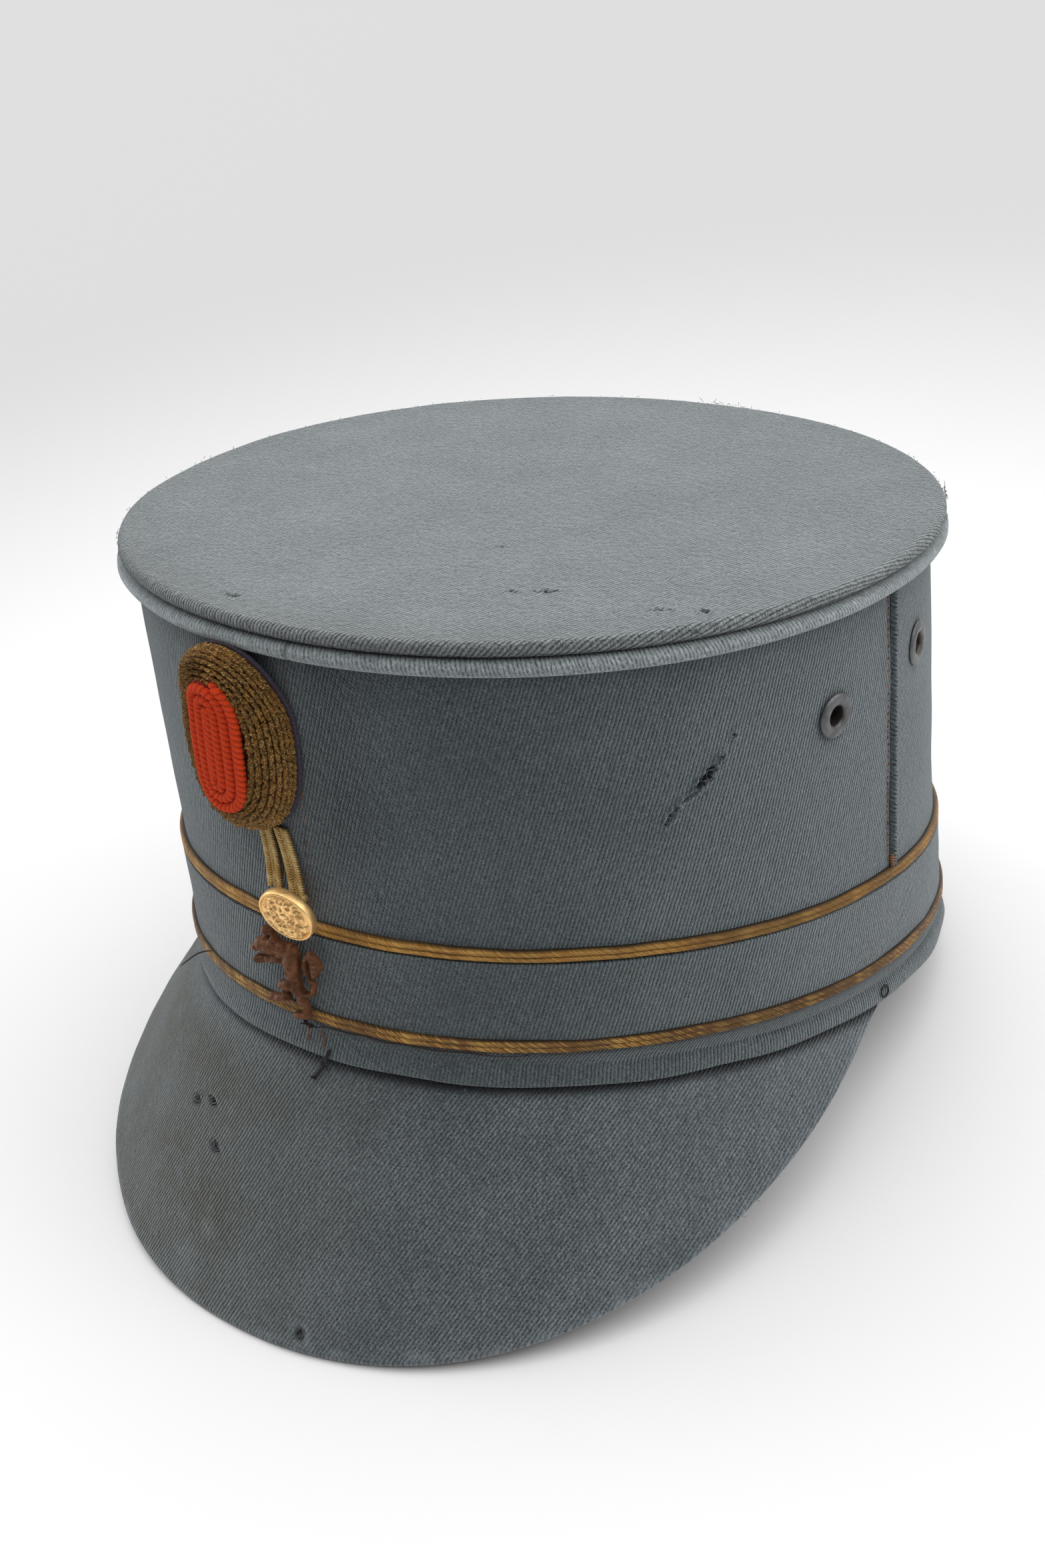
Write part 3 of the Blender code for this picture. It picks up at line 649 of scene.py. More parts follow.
@dataclass(frozen=True)
class GoldThread:
    """Braided gilt thread, worn to brown in places.

    The weave paint holds the distance along the braid in millimetres, the place across a strand from -1
    to 1, and a darkening: painted shade in its hollows, which on the braids also holds dark thread at the
    strands' edges and a darkening away from the front.
    """

    name: str
    gold: Colour = (0.46, 0.215, 0.040)
    bright: Colour = (0.86, 0.50, 0.12)
    brown: Colour = (0.150, 0.072, 0.024)
    gap: Colour = (0.030, 0.017, 0.008)
    pitch: float = 0.44
    slant: float = 1.1
    worn: float = 0.75
    metallic: float = 0.30
    roughness: float = 0.46
    depth: float = 0.00020

    def make(self) -> bpy.types.Material:
        """Writes the finish.

        Returns:
            The material.
        """
        recipe = Recipe(self.name)
        weave = recipe.paint("weave")
        along, across, hollow = recipe.split(weave)
        slope = recipe.sum("MULTIPLY", across, self.slant)
        count = recipe.sum("DIVIDE", recipe.sum("ADD", along, slope), self.pitch)
        wisp = recipe.grain(recipe.stretch(weave, 0.8, 0.9, 3.0), 1.0, 3.0)
        count = recipe.sum("ADD", count, recipe.sum("MULTIPLY", wisp, 0.35))
        thread = recipe.sum("SINE", recipe.sum("MULTIPLY", recipe.sum("FRACT", count), math.pi))
        tint = recipe.chance(recipe.merge(recipe.sum("FLOOR", count), 0.0))
        fine = recipe.grain(recipe.stretch(weave, 5.0, 6.0, 3.0), 1.0, 3.0, 0.7)
        patch = recipe.grain(recipe.stretch(weave, 0.09, 0.55, 2.0), 1.0, 4.0, 0.62)
        rubbed = recipe.sum("MULTIPLY", recipe.span(patch, 0.44, 0.60), self.worn)
        metal = recipe.mix(recipe.span(recipe.sum("ADD", tint, fine), 0.7, 1.6), self.gold, self.bright)
        metal = recipe.mix(rubbed, metal, self.brown)
        # Painted shade between the threads, then the weave paint's darkening in the gap colour.
        metal = recipe.mix(recipe.span(thread, 0.55, 0.05, 0.0, 0.8), metal, self.gap)
        metal = recipe.mix(hollow, metal, self.gap)
        recipe.set(Base_Color=metal, Metallic=self.metallic, Roughness=self.roughness)
        recipe.relief(recipe.sum("MULTIPLY_ADD", fine, 0.4, thread), self.depth)
        return recipe.material


@dataclass(frozen=True)
class Cord:
    """Twisted or laid thread of one dye, with fine fibres along its weave paint."""

    name: str
    colour: Colour = (0.82, 0.052, 0.005)
    shade: Colour = (0.19, 0.007, 0.002)
    light: Colour = (0.94, 0.092, 0.012)
    pitch: float = 0.30
    roughness: float = 0.85
    sheen: float = 0.05
    depth: float = 0.00010

    def make(self) -> bpy.types.Material:
        """Writes the finish.

        Returns:
            The material.
        """
        recipe = Recipe(self.name)
        weave = recipe.paint("weave")
        along, across, hollow = recipe.split(weave)
        count = recipe.sum("DIVIDE", recipe.sum("ADD", along, recipe.sum("MULTIPLY", across, 0.9)), self.pitch)
        fibre = recipe.sum("SINE", recipe.sum("MULTIPLY", recipe.sum("FRACT", count), math.pi))
        fine = recipe.grain(recipe.stretch(weave, 3.0, 3.0, 1.0), 1.0, 3.0, 0.7)
        dye = recipe.mix(recipe.span(fine, 0.35, 0.72), self.colour, self.light)
        dye = recipe.mix(recipe.span(fibre, 0.5, 0.0, 0.0, 0.5), dye, self.shade)
        dye = recipe.mix(hollow, dye, self.shade)
        recipe.set(Base_Color=dye, Roughness=self.roughness, Specular_IOR_Level=0.2)
        recipe.set(Sheen_Weight=self.sheen, Sheen_Roughness=0.5)
        recipe.relief(recipe.sum("MULTIPLY_ADD", fine, 0.6, fibre), self.depth)
        return recipe.material


@dataclass(frozen=True)
class Metal:
    """Old metal with blotches, scratches and a darker colour in its hollows; the weave paint's third value is the
    hollow.
    """

    name: str
    colour: Colour = (0.60, 0.43, 0.22)
    tarnish: Colour = (0.24, 0.14, 0.06)
    hollow: Colour = (0.09, 0.05, 0.02)
    metallic: float = 0.9
    smooth: float = 0.28
    rough: float = 0.55
    tarnish_share: float = 0.5
    grain_size: float = 1400.0
    depth: float = 0.00006

    def make(self) -> bpy.types.Material:
        """Writes the finish.

        Returns:
            The material.
        """
        recipe = Recipe(self.name)
        place = recipe.node("ShaderNodeTexCoord").outputs["Object"]
        _, _, hollow = recipe.split(recipe.paint("weave"))
        blotch = recipe.grain(place, self.grain_size * 0.35, 5.0, 0.6)
        fine = recipe.grain(place, self.grain_size, 4.0, 0.7)
        share = recipe.sum("MULTIPLY", recipe.span(blotch, 0.42, 0.66), self.tarnish_share)
        tone = recipe.mix(share, self.colour, self.tarnish)
        tone = recipe.mix(hollow, tone, self.hollow)
        recipe.set(Base_Color=tone, Metallic=self.metallic)
        recipe.set(Roughness=recipe.span(recipe.sum("ADD", blotch, fine), 0.7, 1.3, self.smooth, self.rough))
        recipe.relief(recipe.sum("ADD", fine, blotch), self.depth)
        return recipe.material


@dataclass(frozen=True)
class Leather:
    """Smooth old leather or coated cloth of the hat's inside."""

    name: str
    colour: Colour = (0.085, 0.050, 0.028)
    dark: Colour = (0.030, 0.018, 0.011)
    roughness: float = 0.55
    grain_size: float = 900.0
    depth: float = 0.00010

    def make(self) -> bpy.types.Material:
        """Writes the finish.

        Returns:
            The material.
        """
        recipe = Recipe(self.name)
        place = recipe.node("ShaderNodeTexCoord").outputs["Object"]
        pore = recipe.grain(place, self.grain_size, 4.0, 0.6)
        cloud = recipe.grain(place, 30.0, 4.0, 0.6)
        tone = recipe.mix(recipe.span(cloud, 0.35, 0.68), self.colour, self.dark)
        recipe.set(Base_Color=tone, Roughness=recipe.span(pore, 0.3, 0.7, self.roughness, self.roughness + 0.2))
        recipe.relief(pore, self.depth)
        return recipe.material


@dataclass(frozen=True)
class Paper:
    """Seamless white paper of the studio floor, with a faint tooth."""

    name: str = "studio_paper"
    colour: Colour = (0.850, 0.845, 0.850)
    shade: Colour = (0.820, 0.815, 0.825)
    far_shade: Colour = (0.525, 0.525, 0.527)

    def make(self) -> bpy.types.Material:
        """Writes the finish.

        Returns:
            The material.
        """
        recipe = Recipe(self.name)
        place = recipe.node("ShaderNodeTexCoord").outputs["Object"]
        cloud = recipe.grain(place, 3.0, 3.0)
        length = recipe.node("ShaderNodeVectorMath", operation="LENGTH")
        recipe.feed(length.inputs[0], place)
        # The paper is painted lighter near the hat, as painted light against the hat's shadow, and darker away from it,
        # as a painted falloff of the light.
        away = recipe.span(length.outputs["Value"], 0.08, 0.62)
        tone = recipe.mix(recipe.sum("MULTIPLY", cloud, 0.3), self.colour, self.shade)
        recipe.set(Base_Color=recipe.mix(away, tone, self.far_shade), Roughness=0.95, Specular_IOR_Level=0.1)
        recipe.relief(recipe.grain(place, 900.0, 2.0), 0.00005, 0.3)
        return recipe.material


@dataclass(frozen=True)
class Slit:
    """Worn hole in cloth along a line, in the cloth's own millimetres."""

    start: tuple[float, float]
    end: tuple[float, float]
    half_width: float
    frayed: float = 0.35
    depth: float = 1.2
    seed: int = 1

    def reach(self, x: np.ndarray, y: np.ndarray) -> np.ndarray:
        """Distance outside the slit's ragged edge, negative inside, in millimetres."""
        run = np.array(self.end) - np.array(self.start)
        share = ((x - self.start[0]) * run[0] + (y - self.start[1]) * run[1]) / max(run @ run, 1e-6)
        share = np.clip(share, 0.0, 1.0)
        away = np.hypot(x - self.start[0] - share * run[0], y - self.start[1] - share * run[1])
        taper = 0.55 * min(1.0, float(np.hypot(*run)) / 4.0)
        bulge = 1.0 - taper * (1.0 - np.sin(math.pi * np.clip(share, 0.02, 0.98)))
        ragged = self.half_width * bulge * (1.0 + self.frayed * ripple(x, y, 0.9, self.seed))
        return away - ragged

    def sink(self, x: np.ndarray, y: np.ndarray) -> np.ndarray:
        """How far the cloth is pressed in or curled out there, in metres outwards."""
        away = self.reach(x, y)
        lip = 0.50 * np.exp(-(((away - 0.45) / 0.42) ** 2)) * (0.5 + 0.8 * ripple(x, y, 1.0, self.seed + 7))
        return (lip - self.depth * (1.0 - ease(away, -0.30, 0.05))) * MM

    def shade_and_dirt(self, x: np.ndarray, y: np.ndarray) -> np.ndarray:
        """Darkness of the hole from 0 to 1."""
        # The hole's darkness is painted shade.
        return 1.0 - ease(self.reach(x, y), -0.22, 0.10)

    def fluff(self, x: np.ndarray, y: np.ndarray) -> np.ndarray:
        """Pale frayed edge from 0 to 1."""
        away = self.reach(x, y)
        return np.exp(-(((away - 0.4) / 0.5) ** 2)) * 0.9


def worn_through(slits: tuple[Slit, ...] | list[Slit], lean: float) -> tuple[tuple[float, float, float], ...]:
    """Round holes along each slit, for the finish of its cloth.

    Args:
        slits: Worn holes, in the cloth's own millimetres.
        lean: Angle by which the ribs' tops lean to the side.

    Returns:
        The place across and along the ribs and the radius of each, in millimetres.
    """
    holes = []
    for slit in slits:
        run = np.array(slit.end) - np.array(slit.start)
        for share in np.linspace(0.0, 1.0, 1 + min(2, round(float(np.hypot(*run))))):
            x, y = np.array(slit.start) + run * share
            across, along, _ = weave_of(np.array(x * MM), np.array(y * MM), lean, 0.0)
            holes.append((float(across), float(along), slit.half_width * float(0.85 + 0.35 * share)))
    return tuple(holes)


def weave_of(x: np.ndarray, y: np.ndarray, lean: float, bolt: float) -> np.ndarray:
    """Weave paint of cloth whose ribs lean from its own upright.

    Args:
        x: Places to the side, in metres.
        y: Places up the cloth, in metres.
        lean: Angle by which the ribs' tops lean to the side.
        bolt: Number that sets this cloth's pattern apart.

    Returns:
        The distance across the ribs, the distance along them and the bolt, in millimetres.
    """
    across = (x * math.cos(lean) - y * math.sin(lean)) / MM
    along = (x * math.sin(lean) + y * math.cos(lean)) / MM
    return stack(across, along, bolt)


def fit(piece: bpy.types.Object, finishes: list[bpy.types.Material], slot: str, *nodes: str) -> None:
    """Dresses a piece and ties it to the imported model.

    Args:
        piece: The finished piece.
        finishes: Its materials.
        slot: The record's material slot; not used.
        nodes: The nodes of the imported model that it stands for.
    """
    for finish in finishes:
        piece.data.materials.append(finish)
    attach(piece, "root")
    if nodes:
        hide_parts(*nodes)
    log.info("%s: %d faces", piece.name, len(piece.data.polygons))


@dataclass
class Crown:
    """Cloth-covered disc on top, drawn tight over its rolled edge."""

    lean: float = math.radians(9.0)
    columns: int = 720
    top_rows: int = 92
    roll_rows: int = 22
    roll_back: float = 0.0006
    holes: tuple[Slit, ...] = (
        Slit((-9.6, -87.3), (-8.8, -87.0), 0.90, 0.15, 1.5, 3),
        Slit((75.4, -42.7), (76.0, -42.1), 0.62, 0.2, 1.5, 4),
        Slit((35.4, -54.2), (37.6, -53.0), 0.50, 0.6, 0.45, 5),
        Slit((40.5, -51.2), (43.9, -48.8), 0.60, 0.7, 0.45, 6),
        Slit((14.6, -33.0), (16.7, -32.1), 0.50, 0.6, 0.45, 8),
        Slit((66.4, -47.6), (69.6, -45.2), 0.60, 0.7, 0.40, 9),
        Slit((58.0, -30.0), (59.2, -29.4), 0.40, 0.5, 0.35, 10),
    )

    def build(self) -> None:
        """Builds the covered disc with its rolled edge, holes and worn spots."""
        angle = np.linspace(-math.pi, math.pi, self.columns + 1)[None, :]
        radius = HAT.disc_thickness / 2.0
        middle = HAT.disc_overhang - radius - self.roll_back
        shares = np.linspace(0.02, 1.0, self.top_rows) ** 0.8
        turns = np.linspace(0.0, math.pi, self.roll_rows)
        full_x, full_y = HAT.oval(
            HAT.crown_half_length + middle, HAT.crown_half_width + middle, HAT.crown_narrowing, HAT.crown_fullness, angle
        )
        x_rows = [full_x * share for share in shares]
        y_rows = [full_y * share for share in shares]
        x_flat = list(x_rows)
        y_flat = list(y_rows)
        rise_rows = [np.full_like(full_x, HAT.disc_thickness) for _ in shares]
        out_x, out_y = HAT.oval(
            HAT.crown_half_length + middle + MM,
            HAT.crown_half_width + middle + MM,
            HAT.crown_narrowing,
            HAT.crown_fullness,
            angle,
        )
        way_x = (out_x - full_x) / MM
        way_y = (out_y - full_y) / MM
        for turn in turns[1:]:
            reach = radius * math.sin(turn)
            x_rows.append(full_x + way_x * reach)
            y_rows.append(full_y + way_y * reach)
            rise_rows.append(np.full_like(full_x, radius + radius * math.cos(turn)))
            x_flat.append(full_x + way_x * radius * turn)
            y_flat.append(full_y + way_y * radius * turn)
        for share in (0.94, 0.6, 0.02):
            x_rows.append(full_x * share)
            y_rows.append(full_y * share)
            rise_rows.append(np.zeros_like(full_x))
            x_flat.append(full_x * share)
            y_flat.append(full_y * share)
        x, y, rise = np.concatenate(x_rows), np.concatenate(y_rows), np.concatenate(rise_rows)
        flat_x, flat_y = np.concatenate(x_flat), np.concatenate(y_flat)
        upper = rise > radius
        sag = ripple(x / MM, y / MM, 38.0, 11) * 0.22 * MM + ripple(x / MM, y / MM, 9.0, 12) * 0.05 * MM
        rise = rise + np.where(upper, sag, 0.0) * (rise / HAT.disc_thickness)
        dark = np.zeros_like(x)
        worn = np.zeros_like(x)
        # The holes are painted dark inside, as painted shade.
        for hole in self.holes:
            rise = rise + np.where(upper, hole.sink(x / MM, y / MM), 0.0)
            dark = np.maximum(dark, np.where(upper, hole.shade_and_dirt(x / MM, y / MM), 0.0))
            worn = np.maximum(worn, np.where(upper, hole.fluff(x / MM, y / MM) * 0.4, 0.0))
        bend = np.concatenate([np.zeros(len(shares)), turns[1:], np.full(3, math.pi)])[:, None]
        # Painted shade on the lower part of the roll and on the disc's underside.
        dark = np.maximum(dark, 0.92 * ease(bend, 1.80, 2.40) * np.ones_like(x))
        spot = np.hypot(x / MM - 79.0, y / MM + 33.0)
        worn = np.maximum(worn, np.exp(-((spot / 1.6) ** 2)) * 0.9)
        edge = np.concatenate([np.full_like(full_x, max(0.0, share)) for share in shares] + [
            np.ones_like(full_x) for _ in range(len(x_rows) - len(shares))
        ])
        front = ease(-y / MM, 50.0, 95.0)
        brown = 0.35 * ease(edge, 0.86, 0.99) * (0.4 + 0.6 * front)
        points = HAT.on_crown(x, y, rise)
        paints = {"weave": weave_of(flat_x, flat_y, self.lean, 1.0), "age": stack(brown, worn, dark)}
        finish = np.zeros(len(points) - 1, int)
        finish[len(shares) - 1 :] = 1
        piece = skin("crown_cover", points, paints, False, True, Ends.ROWS, row_finish=finish)
        # The crown's cloth has lighter colours than the wall's, partly for fading and dust and partly as painted light
        # from above.
        top = Twill(
            "crown_twill",
            pitch=0.89,
            dark=(0.072, 0.090, 0.094),
            middle=(0.172, 0.202, 0.206),
            pale=(0.320, 0.358, 0.360),
            groove_shade=(0.030, 0.040, 0.046),
            groove_shade_share=0.70,
            nap=0.80,
            pills=0.60,
            sheen=0.50,
            holes=worn_through(self.holes, self.lean),
        )
        # The roll's cloth has lighter colours again, as painted light on the rolled edge, with some pale wear.
        roll = replace(
            top,
            name="roll_twill",
            dark=(0.115, 0.137, 0.142),
            middle=(0.260, 0.298, 0.302),
            pale=(0.440, 0.480, 0.480),
            groove_shade=(0.016, 0.022, 0.028),
            groove_shade_share=0.98,
            depth=0.00052,
            nap=0.28,
        )
        fit(piece, [top.make(), roll.make()], "crown_cloth", "crown_disc")


@dataclass
class Welt:
    """Cloth-covered cord under the crown's edge, closed with a butt join at the front."""

    columns: int = 2900
    rows: int = 12
    rib: float = 0.80
    lean: float = math.radians(-24.0)
    join_angle: float = math.radians(7.0)
    proud: float = 0.0009

    def build(self) -> None:
        """Builds the ribbed cord."""
        angle = np.linspace(-math.pi, math.pi, self.columns + 1)[None, :]
        turn = np.linspace(-math.pi / 2.0, math.pi / 2.0, self.rows)[:, None]
        arc = HAT.arc(angle, 0.1) / MM
        height = turn * HAT.welt_width / math.pi / MM
        across = arc * math.cos(self.lean) - height * math.sin(self.lean) + 0.26 * ripple(arc, height, 2.8, 23)
        ridge = np.abs(np.sin(across * math.pi / self.rib)) - 0.6
        worn = ease(ripple(arc, height, 26.0, 21), 0.1, 0.9)
        notch = np.exp(-(((angle - self.join_angle) / 0.006) ** 2))
        lift = 0.15 * MM * ridge * (1.0 - 0.6 * worn) + 0.12 * MM * ripple(arc, 0.0, 14.0, 22) - 0.5 * MM * notch
        depth = HAT.welt_depth + self.proud + lift * np.cos(turn) ** 0.5
        grow = HAT.gap + depth * np.cos(turn)
        rise = -HAT.gap - HAT.welt_width / 2.0 + (HAT.welt_width / 2.0) * np.sin(turn)
        points = HAT.crown(*np.broadcast_arrays(angle, grow, rise))
        back = points[:1]
        weave = stack(across / self.rib * 0.83, arc * math.sin(self.lean) + height * math.cos(self.lean), 2.0)
        age = stack(0.15 * worn, 0.45 * worn, 0.5 * notch * np.ones_like(turn))
        piece = skin(
            "welt_cover",
            np.concatenate([points, back]),
            {"weave": np.concatenate([weave, weave[-1:]]), "age": np.concatenate([age, age[-1:]])},
            True,
            True,
        )
        # The welt's cloth has much lighter colours than the wall's, as painted light where the welt catches the light
        # from above, with some pale wear.
        cloth = Twill(
            "welt_twill",
            dark=(0.140, 0.164, 0.170),
            middle=(0.290, 0.330, 0.336),
            pale=(0.480, 0.525, 0.528),
            groove_shade=(0.022, 0.030, 0.036),
            groove_shade_share=0.80,
            depth=0.00020,
            nap=0.75,
        )
        fit(piece, [cloth.make()], "welt_cloth", "crown_welt")


@dataclass
class Wall:
    """Tall cloth side of the hat over its stiff lining, torn on the wearer's left."""

    lean: float = math.radians(17.6)
    eyelets: tuple[tuple[float, float], ...] = ((82.7, 79.7), (104.5, 87.5))
    barrel: float = 0.0031
    tears: tuple[tuple[float, float, float, float, float, float], ...] = (
        (57.2, 65.8, 55.4, 61.8, 0.52, 1.3),
        (62.7, 74.2, 60.3, 69.6, 1.15, 1.4),
        (60.1, 69.0, 57.8, 66.8, 0.24, 0.5),
        (63.8, 76.0, 63.1, 75.0, 0.40, 0.6),
        (65.8, 80.5, 65.7, 80.8, 0.30, 0.9),
    )
    tear_zone: tuple[float, float] = (53.0, 67.5)
    tear_heights: tuple[float, float] = (58.0, 82.5)

    def slits(self) -> list[Slit]:
        """The tears as slits in the cloth's own millimetres."""
        made = []
        for index, (start, low, end, high, half, deep) in enumerate(self.tears):
            ends = HAT.arc(np.radians([start, end]), 0.06) / MM
            made.append(Slit((ends[0], low), (ends[1], high), half, 0.45, deep, 30 + index))
        return made

    def build(self) -> None:
        """Builds the wall with its tear, its eyelet holes and its soft unevenness."""
        degrees = spaced(-180.0, 180.0, 1.0, 0.17, (self.tear_zone,))
        angle = np.radians(degrees)[None, :]
        low = HAT.band_top / MM - 2.0
        heights = np.concatenate([[0.0, 12.0], spaced(low, 100.0, 1.8, 0.28, (self.tear_heights,))]) * MM
        top = HAT.wall_height(angle)
        share = (heights / heights[-1])[:, None]
        height = share * top
        out = self.unevenness(angle, height)
        weave_x = np.broadcast_to(HAT.arc(angle, 0.06), height.shape)
        dark = np.zeros_like(height)
        worn = np.zeros_like(height)
        for slit in self.slits():
            x, y = weave_x / MM, height / MM
            out = out + slit.sink(x, y)
            # The tears are painted dark inside, as painted shade.
            dark = np.maximum(dark, slit.shade_and_dirt(x, y))
            worn = np.maximum(worn, slit.fluff(x, y))
        outer = HAT.wall(np.broadcast_to(angle, height.shape), height, out)
        upper = [HAT.crown(angle, grow, -HAT.gap) for grow in (0.0, -HAT.wall_thickness)]
        inner_head = HAT.crown(angle, -HAT.wall_thickness, -HAT.welt_drop)
        inner_foot = HAT.rim(angle, -HAT.wall_set_back - HAT.wall_thickness)
        inner = [inner_head + (inner_foot - inner_head) * step for step in (0.0, 0.25, 0.5, 0.7, 0.75, 1.0)]
        points = np.concatenate([outer, *upper, *inner, outer[:1]])
        extra = len(points) - len(outer)
        weave = weave_of(weave_x, height, self.lean, 3.0)
        dusty = 0.10 * ease(ripple(weave_x / MM, height / MM, 30.0, 33), 0.0, 1.0)
        # Painted shadow that the cockade casts on the wall beside it, on the wearer's left.
        cockade_shadow = 0.52 * np.exp(-(((weave_x / MM - 17.0) / 8.5) ** 2)) * ease(height / MM, 40.0, 62.0)
        age = stack(dusty, 0.7 * worn, np.maximum(dark, cockade_shadow))
        weave = np.concatenate([weave, np.repeat(weave[-1:], extra, axis=0)])
        age = np.concatenate([age, np.repeat(age[:1] * 0.0, extra, axis=0)])
        inside = np.zeros(len(points) - 1, int)
        inside[len(outer) + 2 :] = 1
        inside[len(outer) + 5 : -1] = 2
        piece = skin("wall_cover", points, {"weave": weave, "age": age}, True, True, row_finish=inside)
        finishes = [
            Twill("wall_twill").make(),
            Leather("crown_lining", (0.055, 0.045, 0.036), (0.024, 0.020, 0.017), 0.8).make(),
            Leather("sweatband").make(),
        ]
        for finish in finishes:
            piece.data.materials.append(finish)
        self.punch(piece)
        fit(piece, [], "wall_cloth", "body_wall")

    def unevenness(self, angle: np.ndarray, height: np.ndarray) -> np.ndarray:
        """Soft dents and swellings of the old cloth, in metres outwards."""
        around = HAT.arc(angle, 0.06) / MM
        up = height / MM
        middle = ease(up, 34.0, 50.0) * (1.0 - ease(up, 88.0, 98.0))
        return (0.35 * ripple(around, up, 55.0, 31) + 0.10 * ripple(around, up, 14.0, 32)) * middle * MM

    def punch(self, piece: bpy.types.Object) -> None:
        """Cuts the four eyelet holes right through the wall."""
        cutters = []
        for side in Side:
            for degrees, height in self.eyelets:
                work = bmesh.new()
                bmesh.ops.create_cone(
                    work, cap_ends=True, segments=32, radius1=self.barrel, radius2=self.barrel, depth=10.0 * MM
                )
                mesh = bpy.data.meshes.new("punch")
                work.to_mesh(mesh)
                work.free()
                cutter = bpy.data.objects.new("punch", mesh)
                bpy.context.scene.collection.objects.link(cutter)
                cutter.matrix_world = wall_matrix(math.radians(degrees) * side.value, height * MM)
                cutters.append(cutter)
                hole = piece.modifiers.new("punch", "BOOLEAN")
                hole.object = cutter
                hole.operation = "DIFFERENCE"
                hole.solver = "MANIFOLD"
        settle_modifiers(piece)
        for cutter in cutters:
            bpy.data.objects.remove(cutter)


def wall_matrix(angle: float, height: float, out: float = 0.0) -> Matrix:
    """Placement on the resting hat's wall: X to the side, Y up the wall and Z outwards."""
    point, side, up, outward = (HAT_AXIS for HAT_AXIS in HAT.wall_axes(np.array(angle), height))
    origin = HAT.settle(point + outward * out)
    turned = [HAT.settle(point + axis) - HAT.settle(point) for axis in (side, up, outward)]
    matrix = Matrix([Vector(axis) for axis in turned]).transposed().to_4x4()
    matrix.translation = Vector(origin)
    return matrix


def settle_modifiers(piece: bpy.types.Object) -> None:
    """Turns a piece's modifiers into its own mesh."""
    bpy.context.view_layer.update()
    graph = bpy.context.evaluated_depsgraph_get()
    mesh = bpy.data.meshes.new_from_object(piece.evaluated_get(graph), preserve_all_data_layers=True, depsgraph=graph)
    old = piece.data
    piece.modifiers.clear()
    piece.data = mesh
    bpy.data.meshes.remove(old)
    mesh.name = piece.name


@dataclass
class Band:
    """Cloth band round the lower wall, turned in at its hem."""

    lean: float = math.radians(17.6)
    hem_lean: float = math.radians(11.0)
    columns: int = 720

    def build(self) -> None:
        """Builds the band with its soft hem and the crease under the lower braid."""
        angle = np.linspace(-math.pi, math.pi, self.columns + 1)[None, :]
        heights = np.concatenate([np.linspace(0.0, 9.0, 14), np.linspace(9.8, HAT.band_top / MM, 14)])[:, None] * MM
        around = HAT.arc(angle, 0.02) / MM
        up = heights / MM
        fold = ease(angle / math.pi * 180.0, 40.0, 75.0) * (1.0 - ease(angle / math.pi * 180.0, 120.0, 140.0))
        out = HAT.gap + HAT.band_thickness + 0.0 * up * around * MM
        swell = 0.18 * ripple(around, up, 22.0, 41) + 0.08 * ripple(around, up, 7.0, 42)
        crease = np.exp(-(((up - 4.6 - 0.6 * ripple(around, 0.0, 30.0, 43)) / 0.45) ** 2))
        out = out + (swell * ease(up, 0.0, 1.5) * (1.0 - ease(up, 24.0, 30.0)) - 0.55 * crease * fold) * MM
        hem = 1.0 - ease(up, 0.0, 1.0)
        flare = (1.25 + 0.30 * ripple(around, 0.0, 17.0, 45)) * (1.0 - ease(up, 1.0, 6.0)) * ease(up, -0.4, 0.9)
        out = out + (flare - 0.30 * hem**2) * MM
        dip = -0.30 - 0.30 * ripple(around, 0.0, 24.0, 44)
        height = heights + dip * (1.0 - ease(up, 0.0, 6.0)) * MM
        outer = HAT.wall(np.broadcast_to(angle, out.shape), height, out)
        flat = HAT.wall(np.broadcast_to(angle, (2, angle.shape[1])), np.array([[HAT.band_top], [0.0]]), HAT.gap)
        points = np.concatenate([outer, flat, outer[:1]])
        lean = self.hem_lean + (self.lean - self.hem_lean) * ease(up, 5.0, 11.0)
        across = around * np.cos(lean) - up * np.sin(lean)
        along = around * np.sin(lean) + up * np.cos(lean)
        weave = stack(across, along, 4.0)
        # Painted shade along both edges of the lower braid, with the dark thread under it, and painted shade in the
        # crease below.
        shade_and_thread_lines = 0.5 * crease * fold + 0.75 * np.exp(-(((up - 8.3 + 0.2 * ripple(around, 0.0, 9.0, 46)) / 0.42) ** 2))
        shade_and_thread_lines = shade_and_thread_lines + 0.5 * np.exp(-(((up - 12.4) / 0.4) ** 2))
        speck = np.exp(-((np.hypot(around - np.interp(46.9, [0, 90], [0, 145.0]), up - 27.9) / 0.5) ** 2))
        age = stack(0.12 + 0.0 * out, 0.25 * hem + 0.0 * out, np.clip(shade_and_thread_lines, 0.0, 1.0)) + stack(speck, 0.0, 0.0)
        weave = np.concatenate([weave, np.repeat(weave[-1:], 3, axis=0)])
        age = np.concatenate([age, np.repeat(age[-1:], 3, axis=0)])
        piece = skin("band_cover", points, {"weave": weave, "age": age}, True, True)
        fit(piece, [Twill("band_twill").make()], "band_cloth", "hat_band")


